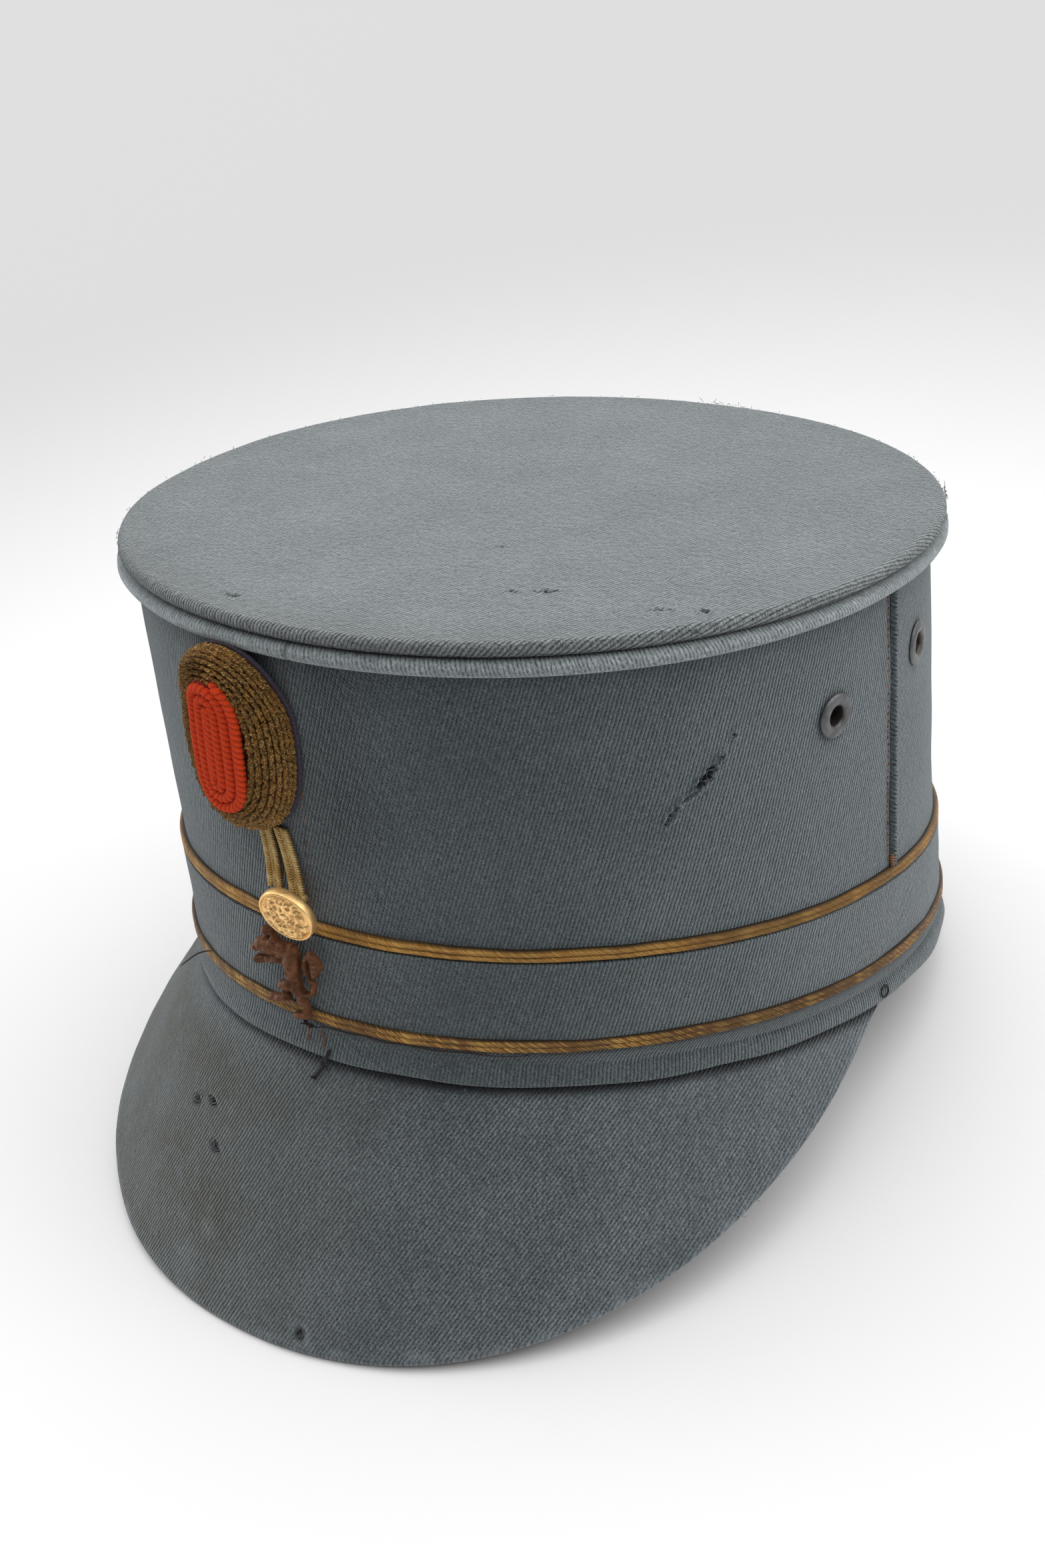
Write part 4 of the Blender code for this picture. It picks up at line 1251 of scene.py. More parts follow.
@dataclass
class Braid:
    """Flat gold braid of two plaited strands round the hat."""

    name: str
    node: str
    height: float
    depth: float
    back: float
    seat: float = 0.0008
    gold: Colour = (0.58, 0.275, 0.042)
    worn: float = 0.45
    columns: int = 1900
    seed: int = 51

    def build(self) -> None:
        """Builds the two strands with their plaited ridges."""
        angle = np.linspace(-math.pi, math.pi, self.columns + 1)[None, :]
        rows = 17
        place = np.linspace(-1.0, 1.0, rows)[:, None]
        around = HAT.arc(angle, self.height) / MM
        strand = np.where(place > 0.0, 1.0, -1.0)
        across = np.abs(place) * 2.0 - 1.0
        rounded = np.sqrt(np.clip(1.0 - across**2, 0.0, 1.0))
        plait = np.sin((around + across * 0.55 * strand) * 2.0 * math.pi / 0.75)
        shape = 0.66 + 0.34 * rounded + 0.05 * plait * rounded
        drift = 0.16 * ripple(around, 0.0, 34.0, self.seed) + 0.09 * ripple(around, 0.0, 9.0, self.seed + 1)
        out = self.back + self.depth * shape * (1.0 - 0.8 * np.abs(place) ** 8)
        spread = 1.0 + 0.07 * ripple(around, place, 8.0, self.seed + 2)
        height = self.height + place * spread * HAT.braid_width / 2.0 + drift * MM
        points = HAT.wall(np.broadcast_to(angle, out.shape), np.broadcast_to(height, out.shape), out)
        flat_height = np.array([[1.0], [-1.0]]) * HAT.braid_width / 2.0 + self.height + drift * MM
        flat = HAT.wall(np.broadcast_to(angle, flat_height.shape), flat_height, self.back - self.seat)
        points = np.concatenate([points, flat, points[:1]])
        # Painted shade with dark thread at the strands' edges and painted shade along the line between the strands; the
        # next line paints the strands darker away from the front.
        hollow = 0.9 * ease(np.abs(place), 0.80, 1.0) + 0.15 * (1.0 - ease(np.abs(place), 0.0, 0.14))
        hollow = hollow + ease(np.abs(around - 6.0), 22.0, 62.0) * (0.36 + 0.20 * ripple(around, place, 11.0, self.seed + 3))
        weave = stack(around, across * strand + 0.0 * around, np.clip(hollow, 0.0, 1.0))
        weave = np.concatenate([weave, np.repeat(weave[-1:], 3, axis=0)])
        piece = skin(self.name, points, {"weave": weave}, True, True, sharp=80.0)
        finish = GoldThread(f"{self.name}_gold", gold=self.gold, worn=self.worn).make()
        fit(piece, [finish], "gold_braid", self.node)


@dataclass
class SideSeam:
    """Raised cord down one side of the wall; its stitches and the bound end of its thread are built with the stitching.
    """

    side: Side
    angle: float = math.radians(96.0)
    width: float = 0.0016
    depth: float = 0.0011

    def build(self) -> None:
        """Builds the cord with slanted ribs."""
        angle = self.angle * self.side.value
        low = HAT.upper_braid_height + HAT.braid_width / 2.0 + HAT.gap
        high = float(HAT.wall_height(np.array(angle)))
        rows = np.linspace(low, high, 420)[:, None]
        turn = np.linspace(-math.pi / 2.0, math.pi / 2.0, 9)[None, :]
        _, side, _, outward = HAT.wall_axes(np.array(angle), rows[:, 0])
        point = HAT.wall(np.full(len(rows), angle), rows[:, 0])
        rope = 1.0 + 0.22 * np.sin(rows / MM * 2.0 * math.pi / 0.95 + turn * 1.2)
        reach = HAT.gap + self.depth * np.cos(turn) * rope
        beside = self.width / 2.0 * np.sin(turn)
        grid = point[:, None] + outward[:, None] * reach[..., None]
        grid = grid + side[:, None] * np.broadcast_to(beside, reach.shape)[..., None]
        grid = np.concatenate([grid, grid[:, :1]], axis=1)
        up = np.broadcast_to(rows / MM, (len(rows), turn.shape[1]))
        weave = stack(up * 0.72 + turn * 0.6, up, 5.0)
        weave = np.concatenate([weave, weave[:, -1:]], axis=1)
        age = np.zeros_like(weave)
        name = f"seam_cover_{self.side.name.lower()}"
        piece = skin(name, grid, {"weave": weave, "age": age}, False, True, Ends.ROWS)
        node = f"side_seam_{self.side.name.lower()}"
        cloth = Twill(f"{name}_cloth", pitch=0.9).make()
        fit(piece, [cloth], "seam_cord", node)


@dataclass
class Visor:
    """Drooping leaf of cloth over board, stained, holed and rubbed at its edge."""

    length: float = 0.0635
    thickness: float = 0.0026
    half_span: float = math.radians(92.4)
    front_slope: float = math.radians(67.8)
    side_slope: float = math.radians(45.8)
    spread: float = 0.85
    fullness: float = 2.46
    taper: float = 1.4
    lean: float = math.radians(22.5)
    columns: int = 300
    rows: int = 92
    holes: tuple[tuple[float, float, float, float], ...] = (
        (-0.203, 0.383, 1.15, 0.90),
        (-0.162, 0.342, 1.00, 1.05),
        (-0.122, 0.475, 1.20, 0.95),
        (0.104, 0.943, 1.30, 0.80),
    )

    def outline(self, share: np.ndarray) -> np.ndarray:
        """Length of the visor from the rim, by the share of its half span."""
        return self.length * np.clip(1.0 - np.abs(share) ** self.fullness, 0.0, 1.0) ** self.taper

    def slope(self, share: np.ndarray) -> np.ndarray:
        """Angle below the rim's plane."""
        return self.front_slope + (self.side_slope - self.front_slope) * share**2

    def leaf(self, share: np.ndarray, reach: np.ndarray) -> np.ndarray:
        """Points on the upper face, reach down from the rim."""
        angle = share * self.half_span
        slope = self.slope(share)
        heading = self.spread * angle
        way = stack(np.sin(heading) * np.cos(slope), -np.cos(heading) * np.cos(slope), -np.sin(slope))
        start = HAT.rim(angle) - np.array([0.0, 0.0, HAT.gap])
        return start + way * reach[..., None]

    def normal(self, share: np.ndarray, reach: np.ndarray) -> np.ndarray:
        """Upward normals of the upper face."""
        step = 0.002
        down = self.leaf(share, reach + step) - self.leaf(share, reach)
        across = self.leaf(share + step, reach) - self.leaf(share - step, reach)
        return -unit(np.cross(across, down))

    def flat(self, share: np.ndarray, reach: np.ndarray) -> tuple[np.ndarray, np.ndarray]:
        """Places on the cloth before it was bent: to the side and upwards, in metres."""
        steps = np.linspace(-1.0, 1.0, 1201)
        rim = HAT.rim(steps * self.half_span)
        paces = np.concatenate([[0.0], np.linalg.norm(np.diff(rim, axis=0), axis=1)])
        turning = np.cos(self.slope(steps)) * self.spread * self.half_span * np.gradient(steps)
        bend = np.cumsum(turning)
        bend -= np.interp(0.0, steps, bend)
        side = np.cumsum(paces * np.cos(bend))
        side -= np.interp(0.0, steps, side)
        up = np.cumsum(paces * np.sin(bend))
        up -= np.interp(0.0, steps, up)
        heading = np.interp(share, steps, bend)
        flat_side = np.interp(share, steps, side) + reach * np.sin(heading)
        flat_up = np.interp(share, steps, up) - reach * np.cos(heading)
        return flat_side, flat_up

    def build(self) -> None:
        """Builds the visor with its holes, rubbed edge and pale underside."""
        share = np.sin(np.linspace(-0.5, 0.5, self.columns + 1) * math.pi)[None, :] * 0.9995
        parts = np.linspace(0.0, 1.0, self.rows)[:, None]
        share, parts = np.broadcast_arrays(share, parts)
        length = self.outline(share)
        reach = length * parts
        upper = self.leaf(share, reach)
        normal = self.normal(share, reach)
        x, y = self.flat(share, reach)
        lift = (0.20 * ripple(x / MM, y / MM, 34.0, 61) + 0.05 * ripple(x / MM, y / MM, 8.0, 62)) * MM
        dark = np.zeros_like(reach)
        worn = np.zeros_like(reach)
        slits = []
        for index, (u, v, half_width, depth) in enumerate(self.holes):
            centre = self.flat(np.array([u]), self.outline(np.array([u])) * v)
            spot = (float(centre[0][0]) / MM, float(centre[1][0]) / MM)
            hole = Slit(spot, (spot[0] + 0.5, spot[1] - 0.3), half_width, 0.35, depth, 65 + index)
            slits.append(hole)
            lift = lift + hole.sink(x / MM, y / MM)
            # The holes are painted dark inside, as painted shade.
            dark = np.maximum(dark, 0.8 * hole.shade_and_dirt(x / MM, y / MM))
            worn = np.maximum(worn, (0.9 if v > 0.9 else 0.35) * hole.fluff(x / MM, y / MM))
        fade = ease(length, 0.0, 0.012) * ease(parts, 0.0, 0.06)
        upper = upper + normal * (lift * fade)[..., None]
        lower_parts = parts[::-6]
        lower_share = share[::-6]
        lower_reach = self.outline(lower_share) * lower_parts
        lower_normal = self.normal(lower_share, lower_reach)
        lower = self.leaf(lower_share, lower_reach) - lower_normal * self.thickness
        edge_reach = (length[-1] + self.thickness * 0.35 * length[-1] / self.length)[None]
        edges = []
        for sink in (0.25, 0.5, 0.75):
            push = (edge_reach - length[-1:]) * math.sin(sink * math.pi)
            rim_point = self.leaf(share[-1:], length[-1:] + push)
            edges.append(rim_point - self.normal(share[-1:], length[-1:]) * self.thickness * sink)
        angle = share[0] * self.half_span
        slope = self.slope(share[0])
        drop = np.array([0.0, 0.0, HAT.gap])
        lip = HAT.rim(angle, -HAT.wall_set_back - HAT.wall_thickness) - drop
        mitre = HAT.rim(angle, -self.thickness * np.tan(slope / 2.0)) - drop
        sole = np.array([0.0, 0.0, self.thickness])
        grid = np.concatenate([lip[None], upper, *edges, lower[:-1], (mitre - sole)[None], (lip - sole)[None], lip[None]])
        count = len(upper)
        rest = len(grid) - count - 1
        weave = weave_of(x, y, self.lean, 6.0)
        weave = np.concatenate([weave[:1], weave, np.repeat(weave[-1:], rest, axis=0)])
        age = self.age(share, parts, length, x, y, dark, worn)
        age = np.concatenate([age[:1], age, np.repeat(age[-1:], rest, axis=0)])
        finish = np.zeros(len(grid) - 1, int)
        finish[count + 2 :] = 1
        piece = skin("visor_cover", grid, {"weave": weave, "age": age}, True, False, Ends.COLUMNS, row_finish=finish)
        # The visor's cloth has lighter colours than the wall's, as painted light.
        finishes = [
            Twill(
                "visor_twill",
                pitch=0.88,
                dark=(0.042, 0.055, 0.062),
                middle=(0.130, 0.155, 0.163),
                pale=(0.280, 0.316, 0.324),
                stain=(0.064, 0.063, 0.038),
                sheen=0.50,
                holes=worn_through(slits, self.lean),
            ).make(),
            Leather("visor_underside", (0.30, 0.27, 0.24), (0.16, 0.14, 0.12), 0.75, 500.0).make(),
        ]
        fit(piece, finishes, "visor_cloth", "visor")

    def age(
        self,
        share: np.ndarray,
        parts: np.ndarray,
        length: np.ndarray,
        x: np.ndarray,
        y: np.ndarray,
        dark: np.ndarray,
        worn: np.ndarray,
    ) -> np.ndarray:
        """Stain, wear and painted shade of the upper face.

        Args:
            share: Share of the half span of each place.
            parts: Share of the visor's length of each place.
            length: Length of the visor at each place.
            x: Place to the side on the flat cloth, in metres.
            y: Place up the flat cloth, in metres.
            dark: Painted shade of the holes.
            worn: Fluff round the holes.

        Returns:
            The age paint.
        """
        cloud = ripple(x / MM, y / MM, 15.0, 71)
        left = 1.0 - ease(share, -0.20, 0.22)
        brown = np.clip(left * (0.85 + 0.30 * cloud) * ease(parts, 0.0, 0.20), 0.0, 1.0) * 0.95
        middle = np.exp(-(((share - 0.02) / 0.22) ** 2)) * 0.20
        edge = (1.0 - parts) * length / MM
        rim = (1.0 - ease(edge, 0.4, 2.4)) * (0.55 + 0.45 * ripple(x / MM, y / MM, 6.0, 72))
        near_rim = (1.0 - ease(edge, 2.0, 9.0)) * ease(cloud, 0.2, 1.1) * 0.6
        for u, v, size in ((-0.107, 0.90, 4.5), (-0.087, 0.75, 2.6), (0.268, 0.985, 3.0)):
            spot = self.flat(np.array([u]), self.outline(np.array([u])) * v)
            away = np.hypot(x - spot[0][0], y - spot[1][0]) / MM
            worn = np.maximum(worn, np.exp(-((away / size) ** 2)) * 0.75)
        brown = np.clip(np.maximum(brown, middle * (1.0 + 0.6 * cloud)), 0.0, 0.95)
        # Painted shadow of the band's hem on the visor, next to the rim.
        dark = np.maximum(dark, 0.95 * (1.0 - ease(parts * length / MM, 0.8, 3.4)))
        return stack(brown, np.clip(worn + rim + near_rim, 0.0, 0.9), dark)


@dataclass
class Eyelet:
    """Rolled metal eyelet of the vents."""

    side: Side
    end: str
    degrees: float
    height: float
    flange: float = 0.0051
    flange_height: float = 0.0010
    bore: float = 0.0022
    barrel: float = 0.0028
    curl: float = 0.0037
    curl_height: float = 0.0006

    def build(self, metal: bpy.types.Material) -> None:
        """Builds the rolled flange, the barrel and the curl inside."""
        back = -HAT.wall_thickness - HAT.gap
        profile = [(self.bore, back - self.curl_height), (self.curl, back - self.curl_height), (self.curl, back)]
        profile += [(self.barrel, back), (self.barrel, HAT.gap), (self.flange - 0.0002, HAT.gap)]
        middle = (self.flange + self.bore) / 2.0
        half = (self.flange - self.bore) / 2.0
        for turn in np.linspace(0.0, math.pi, 12):
            profile.append((middle + half * math.cos(turn), HAT.gap + 0.0002 + (self.flange_height - 0.0002) * math.sin(turn)))
        profile.append(profile[0])
        rings = np.array(profile)
        turn = np.linspace(0.0, 2.0 * math.pi, 65)[None, :]
        matrix = np.array(wall_matrix(math.radians(self.degrees) * self.side.value, self.height * MM))
        dent = 1.0 + 0.010 * np.sin(3.0 * turn + self.degrees)
        x = rings[:, :1] * np.cos(turn) * dent
        y = rings[:, :1] * np.sin(turn) * dent
        z = np.broadcast_to(rings[:, 1:], x.shape)
        local = stack(x, y, z) @ matrix[:3, :3].T + matrix[:3, 3]
        hollow = 0.55 * (1.0 - ease(np.broadcast_to(rings[:, :1], x.shape), self.bore, self.bore + 0.0009))
        weave = stack(x / MM, y / MM, hollow)
        name = f"eyelet_{self.side.name.lower()}_{self.end}"
        piece = skin(f"{name}_ring", unsettle(local), {"weave": weave}, True, True)
        fit(piece, [metal], "eyelet_metal", name)


def unsettle(points: np.ndarray) -> np.ndarray:
    """Points of the resting hat back in the upright hat's place."""
    cosine = math.cos(HAT.rest_pitch)
    sine = math.sin(HAT.rest_pitch)
    moved = points - np.array(HAT.rest_place)
    x, y, z = moved[..., 0], moved[..., 1], moved[..., 2]
    return np.stack([x, y * cosine - z * sine, y * sine + z * cosine], axis=-1)


@dataclass
class Cockade:
    """Oval cockade: a dark backing, rows of plaited gold and a centre of coiled orange cord."""

    side: float = -0.0048
    half_width: float = 0.0150
    half_length: float = 0.0207
    rise: float = 0.0056
    fullness: float = 2.25
    backing_thickness: float = 0.0010
    backing_margin: float = 0.0005
    centre_half_width: float = 0.0084
    centre_half_length: float = 0.0166
    centre_drop: float = 0.0006
    centre_rise: float = 0.0020
    centre_side: float = -0.0067
    raise_by: float = 0.0023
    lean_out: float = 0.0026
    gold_rows: int = 8
    stitch: float = 1.75
    cord_turns: int = 3

    def middle(self) -> float:
        """Height of the cockade's middle up the wall."""
        return float(HAT.wall_height(np.array(0.0))) - HAT.gap - self.half_length - self.backing_margin

    def oval(self, half_width: float, half_length: float, inset: np.ndarray, turn: np.ndarray) -> tuple[np.ndarray, np.ndarray]:
        """Sideways and upward places of an oval ring, drawn in by inset."""
        sine = np.sin(turn)
        cosine = np.cos(turn)
        side = np.copysign(np.abs(sine) ** (2.0 / self.fullness), sine)
        ahead = np.copysign(np.abs(cosine) ** (2.0 / self.fullness), cosine)
        return (half_width - inset) * side, (half_length - inset) * ahead

    def ring(self, half_width: float, half_length: float, inset: np.ndarray, out: np.ndarray, turn: np.ndarray) -> np.ndarray:
        """Points of rings bent round the front of the wall."""
        across, along = self.oval(half_width, half_length, inset, turn)
        return self.lay(self.side + across, along, out)

    def lay(self, side: np.ndarray, along: np.ndarray, out: np.ndarray) -> np.ndarray:
        """Points on the cockade's bed, which leans out at its top over the welt."""
        lean = self.lean_out * ease(along / self.half_length, 0.25, 1.0)
        return HAT.front(side, self.middle() + self.raise_by + along, out + lean)

    def build(self) -> None:
        """Builds the backing, the gold rows and the orange centre."""
        self.build_backing()
        self.build_gold()
        self.build_centre()

    def build_backing(self) -> None:
        """Builds the felt backing with a soft edge."""
        turn = np.linspace(0.0, 2.0 * math.pi, 161)[None, :]
        half_width = self.half_width + self.backing_margin
        half_length = self.half_length + self.backing_margin
        top = HAT.gap + self.backing_thickness
        rows = [(half_width * 0.9, HAT.gap), (0.2 * MM, HAT.gap), (0.0, HAT.gap + 0.3 * MM)]
        rows += [(0.0, top - 0.3 * MM), (0.25 * MM, top), (half_width * 0.9, top)]
        grid = np.concatenate([self.ring(half_width, half_length, np.array([[i]]), np.array([[o]]), turn) for i, o in rows])
        across, along = self.oval(half_width, half_length, np.array([[i] for i, _ in rows]), turn)
        weave = stack(across / MM, along / MM, 0.0)
        piece = skin("cockade_felt", grid, {"weave": weave}, False, True, Ends.ROWS)
        felt = Cord("backing_felt", (0.045, 0.036, 0.050), (0.018, 0.014, 0.020), (0.085, 0.070, 0.090), 0.7, 0.95)
        fit(piece, [felt.make()], "backing_cloth", "cockade_backing")

    def dome(self, share: np.ndarray) -> tuple[np.ndarray, np.ndarray]:
        """Inset and stand-off of the gold dome from its foot to the centre's edge."""
        low = 2.0 * HAT.gap + self.backing_thickness
        inset_full = self.half_width - self.centre_half_width
        foot = 0.12
        climb = np.clip(share / foot, 0.0, 1.0)
        over = np.clip((share - foot) / (1.0 - foot), 0.0, 1.0)
        turn = over * math.pi / 2.0
        inset = inset_full * (1.0 - np.cos(turn))
        out = low + self.rise * (0.2 * climb + 0.8 * np.sin(turn))
        return inset, out

    def build_gold(self) -> None:
        """Builds the dome of plaited gold rows."""
        turn = np.linspace(0.0, 2.0 * math.pi, 801)[None, :]
        steps = self.gold_rows * 7
        share = np.linspace(0.0, 1.0, steps + 1)[:, None]
        inset, out = self.dome(share)
        across, along = self.oval(self.half_width, self.half_length, inset, turn)
        pace = np.concatenate([np.zeros((len(share), 1)), np.hypot(np.diff(across), np.diff(along))], axis=1)
        distance = np.cumsum(pace, axis=1) / MM
        total = distance[:, -1:]
        row = np.minimum(np.floor(share * self.gold_rows), self.gold_rows - 1)
        within = share * self.gold_rows - row
        links = np.round(np.interp(row, np.arange(self.gold_rows), total[:: 7][: self.gold_rows, 0]) / self.stitch)
        phase = distance / total * links + row * 0.5 + 0.30 * ripple(distance, row * 9.0, 2.6, 82)
        width = np.abs(within * 2.0 - 1.0)
        ridge = np.sqrt(np.clip(1.0 - width**2, 0.0, 1.0))
        lean = np.where(within > 0.5, 1.0, -1.0) * width
        knot = np.abs(np.sin(math.pi * (phase + lean * 0.35)))
        uneven = ripple(distance + row * 90.0, row * 7.0, 1.3, 81)
        crinkle = ripple(distance, row * 5.0 + within * 1.6, 0.55, 83, 18)
        lift = (0.72 * ridge * (0.55 + 0.45 * knot) + 0.24 * uneven + 0.36 * crinkle - 0.36) * MM
        lift = lift * ease(share, 0.0, 0.06)
        tilt = np.clip((share - 0.12) / 0.88, 0.0, 1.0) * math.pi / 2.0
        inset = inset - lift * np.cos(tilt)
        out = out + lift * np.sin(tilt)
        across, along = self.oval(self.half_width, self.half_length, inset, turn)
        drift = (self.centre_side - self.side) * share
        points = self.lay(self.side + drift + across, along - self.centre_drop * share, out)
        low = 2.0 * HAT.gap + self.backing_thickness
        lid = [self.ring(self.half_width, self.half_length, np.array([[i]]), np.array([[o]]), turn)
               for i, o in ((self.half_width * 0.9, low + self.rise * 0.92),)]
        base = self.ring(self.half_width, self.half_length, np.array([[self.half_width * 0.9]]), np.array([[low]]), turn)
        grid = np.concatenate([base, points, *lid])
        weave = stack(distance, (within * 2.0 - 1.0) * np.ones_like(distance), 1.0 - ridge * (0.50 + 0.50 * knot) - 0.35 * crinkle)
        weave = np.concatenate([weave[:1], weave, weave[-1:]])
        piece = skin("cockade_gold", grid, {"weave": weave}, False, True, Ends.ROWS, sharp=90.0)
        gold = ChainGold("cockade_chain_gold")
        fit(piece, [gold.make()], "rosette_gold", "cockade_rosette")

    def build_centre(self) -> None:
        """Builds the coil of twisted orange cord over its soft filling."""
        low = 2.0 * HAT.gap + self.backing_thickness + self.rise - 0.6 * MM
        pitch = self.centre_half_width / (self.cord_turns + 0.5)
        radius = pitch * 0.55
        straight = self.centre_half_length - self.centre_half_width
        loops = []
        for loop in range(self.cord_turns, 0, -1):
            wide = pitch * loop
            turn = np.linspace(0.0, 2.0 * math.pi, int(60 + 60 * loop))[:-1]
            drawn = wide + (pitch * -1.0) * turn / (2.0 * math.pi)
            x = drawn * np.sin(turn)
            y = drawn * np.cos(turn) + straight * np.tanh(np.cos(turn) * 3.2)
            loops.append(np.stack([x, y], axis=1))
        last = np.linspace(straight, -straight * 0.86, 60)
        loops.append(np.stack([0.15 * MM * np.sin(last / straight * 2.0), last], axis=1))
        flat = np.concatenate(loops)
        distance = np.concatenate([[0.0], np.cumsum(np.hypot(*np.diff(flat, axis=0).T))])
        even = np.linspace(0.0, distance[-1], int(distance[-1] / (0.20 * MM)))
        x = np.interp(even, distance, flat[:, 0])
        y = np.interp(even, distance, flat[:, 1])
        reach = np.sqrt((x / self.centre_half_width) ** 2 + (y / self.centre_half_length) ** 2)
        start = 1.0 - ease(even, 0.0, 5.0 * MM)
        out = low + self.centre_rise * (1.0 - 0.45 * np.clip(reach, 0.0, 1.0) ** 2.5) - radius * (0.35 + 1.6 * start)
        path = self.lay(self.centre_side + x, y - self.centre_drop, out)
        _, _, _, outward = HAT.wall_axes(HAT.front_angle(self.centre_side + x, self.middle() + y), self.middle() + y)
        around = 14
        turns = np.linspace(0.0, 2.0 * math.pi, around + 1)[None, :]
        twist = even[:, None] / MM * math.pi / 1.3
        lobes = 0.76 + 0.24 * np.abs(np.sin(turns + twist))
        grid, along, turn = tube(path, outward, radius * lobes * (1.0 - 0.5 * start[:, None]), around)
        # The grooves between the twisted plies are painted in the shade colour, as painted shade.
        hollow = np.clip(1.0 - (lobes - 0.76) / 0.12, 0.0, 1.0) * 0.90
        weave = stack(along / MM, turn * radius / MM + twist * 0.0, hollow)
        coil = skin("orange_coil", grid, {"weave": weave}, False, True, Ends.ROWS)
        turn = np.linspace(0.0, 2.0 * math.pi, 121)[None, :]
        rows = [(self.centre_half_width * 0.9, low - 0.8 * MM), (1.3 * MM, low - 0.8 * MM), (1.1 * MM, low + 0.4 * MM)]
        rows += [(1.7 * MM, low + 0.9 * MM), (self.centre_half_width * 0.5, low + 1.6 * MM)]
        rows += [(self.centre_half_width * 0.9, low + 1.8 * MM)]
        inset = np.array([[i] for i, _ in rows])
        across, along = self.oval(self.centre_half_width, self.centre_half_length, inset, turn)
        pad = self.lay(self.centre_side + across, along - self.centre_drop, np.array([[o] for _, o in rows]))
        # The filling is painted all in the shade colour, as painted shade in the gaps between the turns of cord.
        paint = np.concatenate([np.zeros(pad.shape[:2] + (2,)), np.ones(pad.shape[:2] + (1,))], axis=-1)
        filling = skin("orange_filling", pad, {"weave": paint}, False, True, Ends.ROWS)
        piece = join("cockade_orange", [coil, filling])
        fit(piece, [Cord("orange_wool").make()], "orange_cord", "cockade_centre")


@dataclass(frozen=True)
class ChainGold:
    """Dark old gilt thread with bright glints; the weave paint's third value is the hollow."""

    name: str
    gold: Colour = (0.33, 0.130, 0.021)
    glint: Colour = (0.88, 0.62, 0.21)
    brown: Colour = (0.105, 0.045, 0.013)
    dull: Colour = (0.120, 0.057, 0.025)

    def make(self) -> bpy.types.Material:
        """Writes the finish.

        Returns:
            The material.
        """
        recipe = Recipe(self.name)
        weave = recipe.paint("weave")
        along, across, hollow = recipe.split(weave)
        strand = recipe.sum("MULTIPLY_ADD", across, 1.5, recipe.sum("MULTIPLY", along, 2.4))
        thread = recipe.sum("SINE", recipe.sum("MULTIPLY", recipe.sum("FRACT", strand), math.pi))
        fine = recipe.grain(recipe.stretch(weave, 3.4, 2.2, 1.0), 1.0, 3.0, 0.7)
        patch = recipe.grain(recipe.stretch(weave, 0.7, 0.8, 1.0), 1.0, 3.0, 0.6)
        crinkle = recipe.grain(recipe.stretch(weave, 2.6, 1.8, 5.0), 1.3, 2.0, 0.7)
        # Painted glints: small bright spots laid into the base colour as painted highlights.
        spark = recipe.span(crinkle, 0.52, 0.59)
        tone = recipe.mix(recipe.span(patch, 0.34, 0.60), self.dull, self.gold)
        # Browner and darker in the hollows between rows and links and between threads, as painted shade.
        tone = recipe.mix(recipe.span(hollow, 0.35, 0.90), tone, self.brown)
        tone = recipe.mix(recipe.span(thread, 0.5, 0.0, 0.0, 0.5), tone, self.brown)
        tone = recipe.mix(recipe.sum("MULTIPLY", spark, recipe.span(hollow, 0.95, 0.40)), tone, self.glint)
        recipe.set(Base_Color=tone, Metallic=0.6, Roughness=recipe.span(spark, 0.0, 1.0, 0.5, 0.25))
        recipe.relief(recipe.sum("MULTIPLY_ADD", crinkle, 2.2, recipe.sum("MULTIPLY_ADD", fine, 0.8, thread)), 0.00028)
        return recipe.material


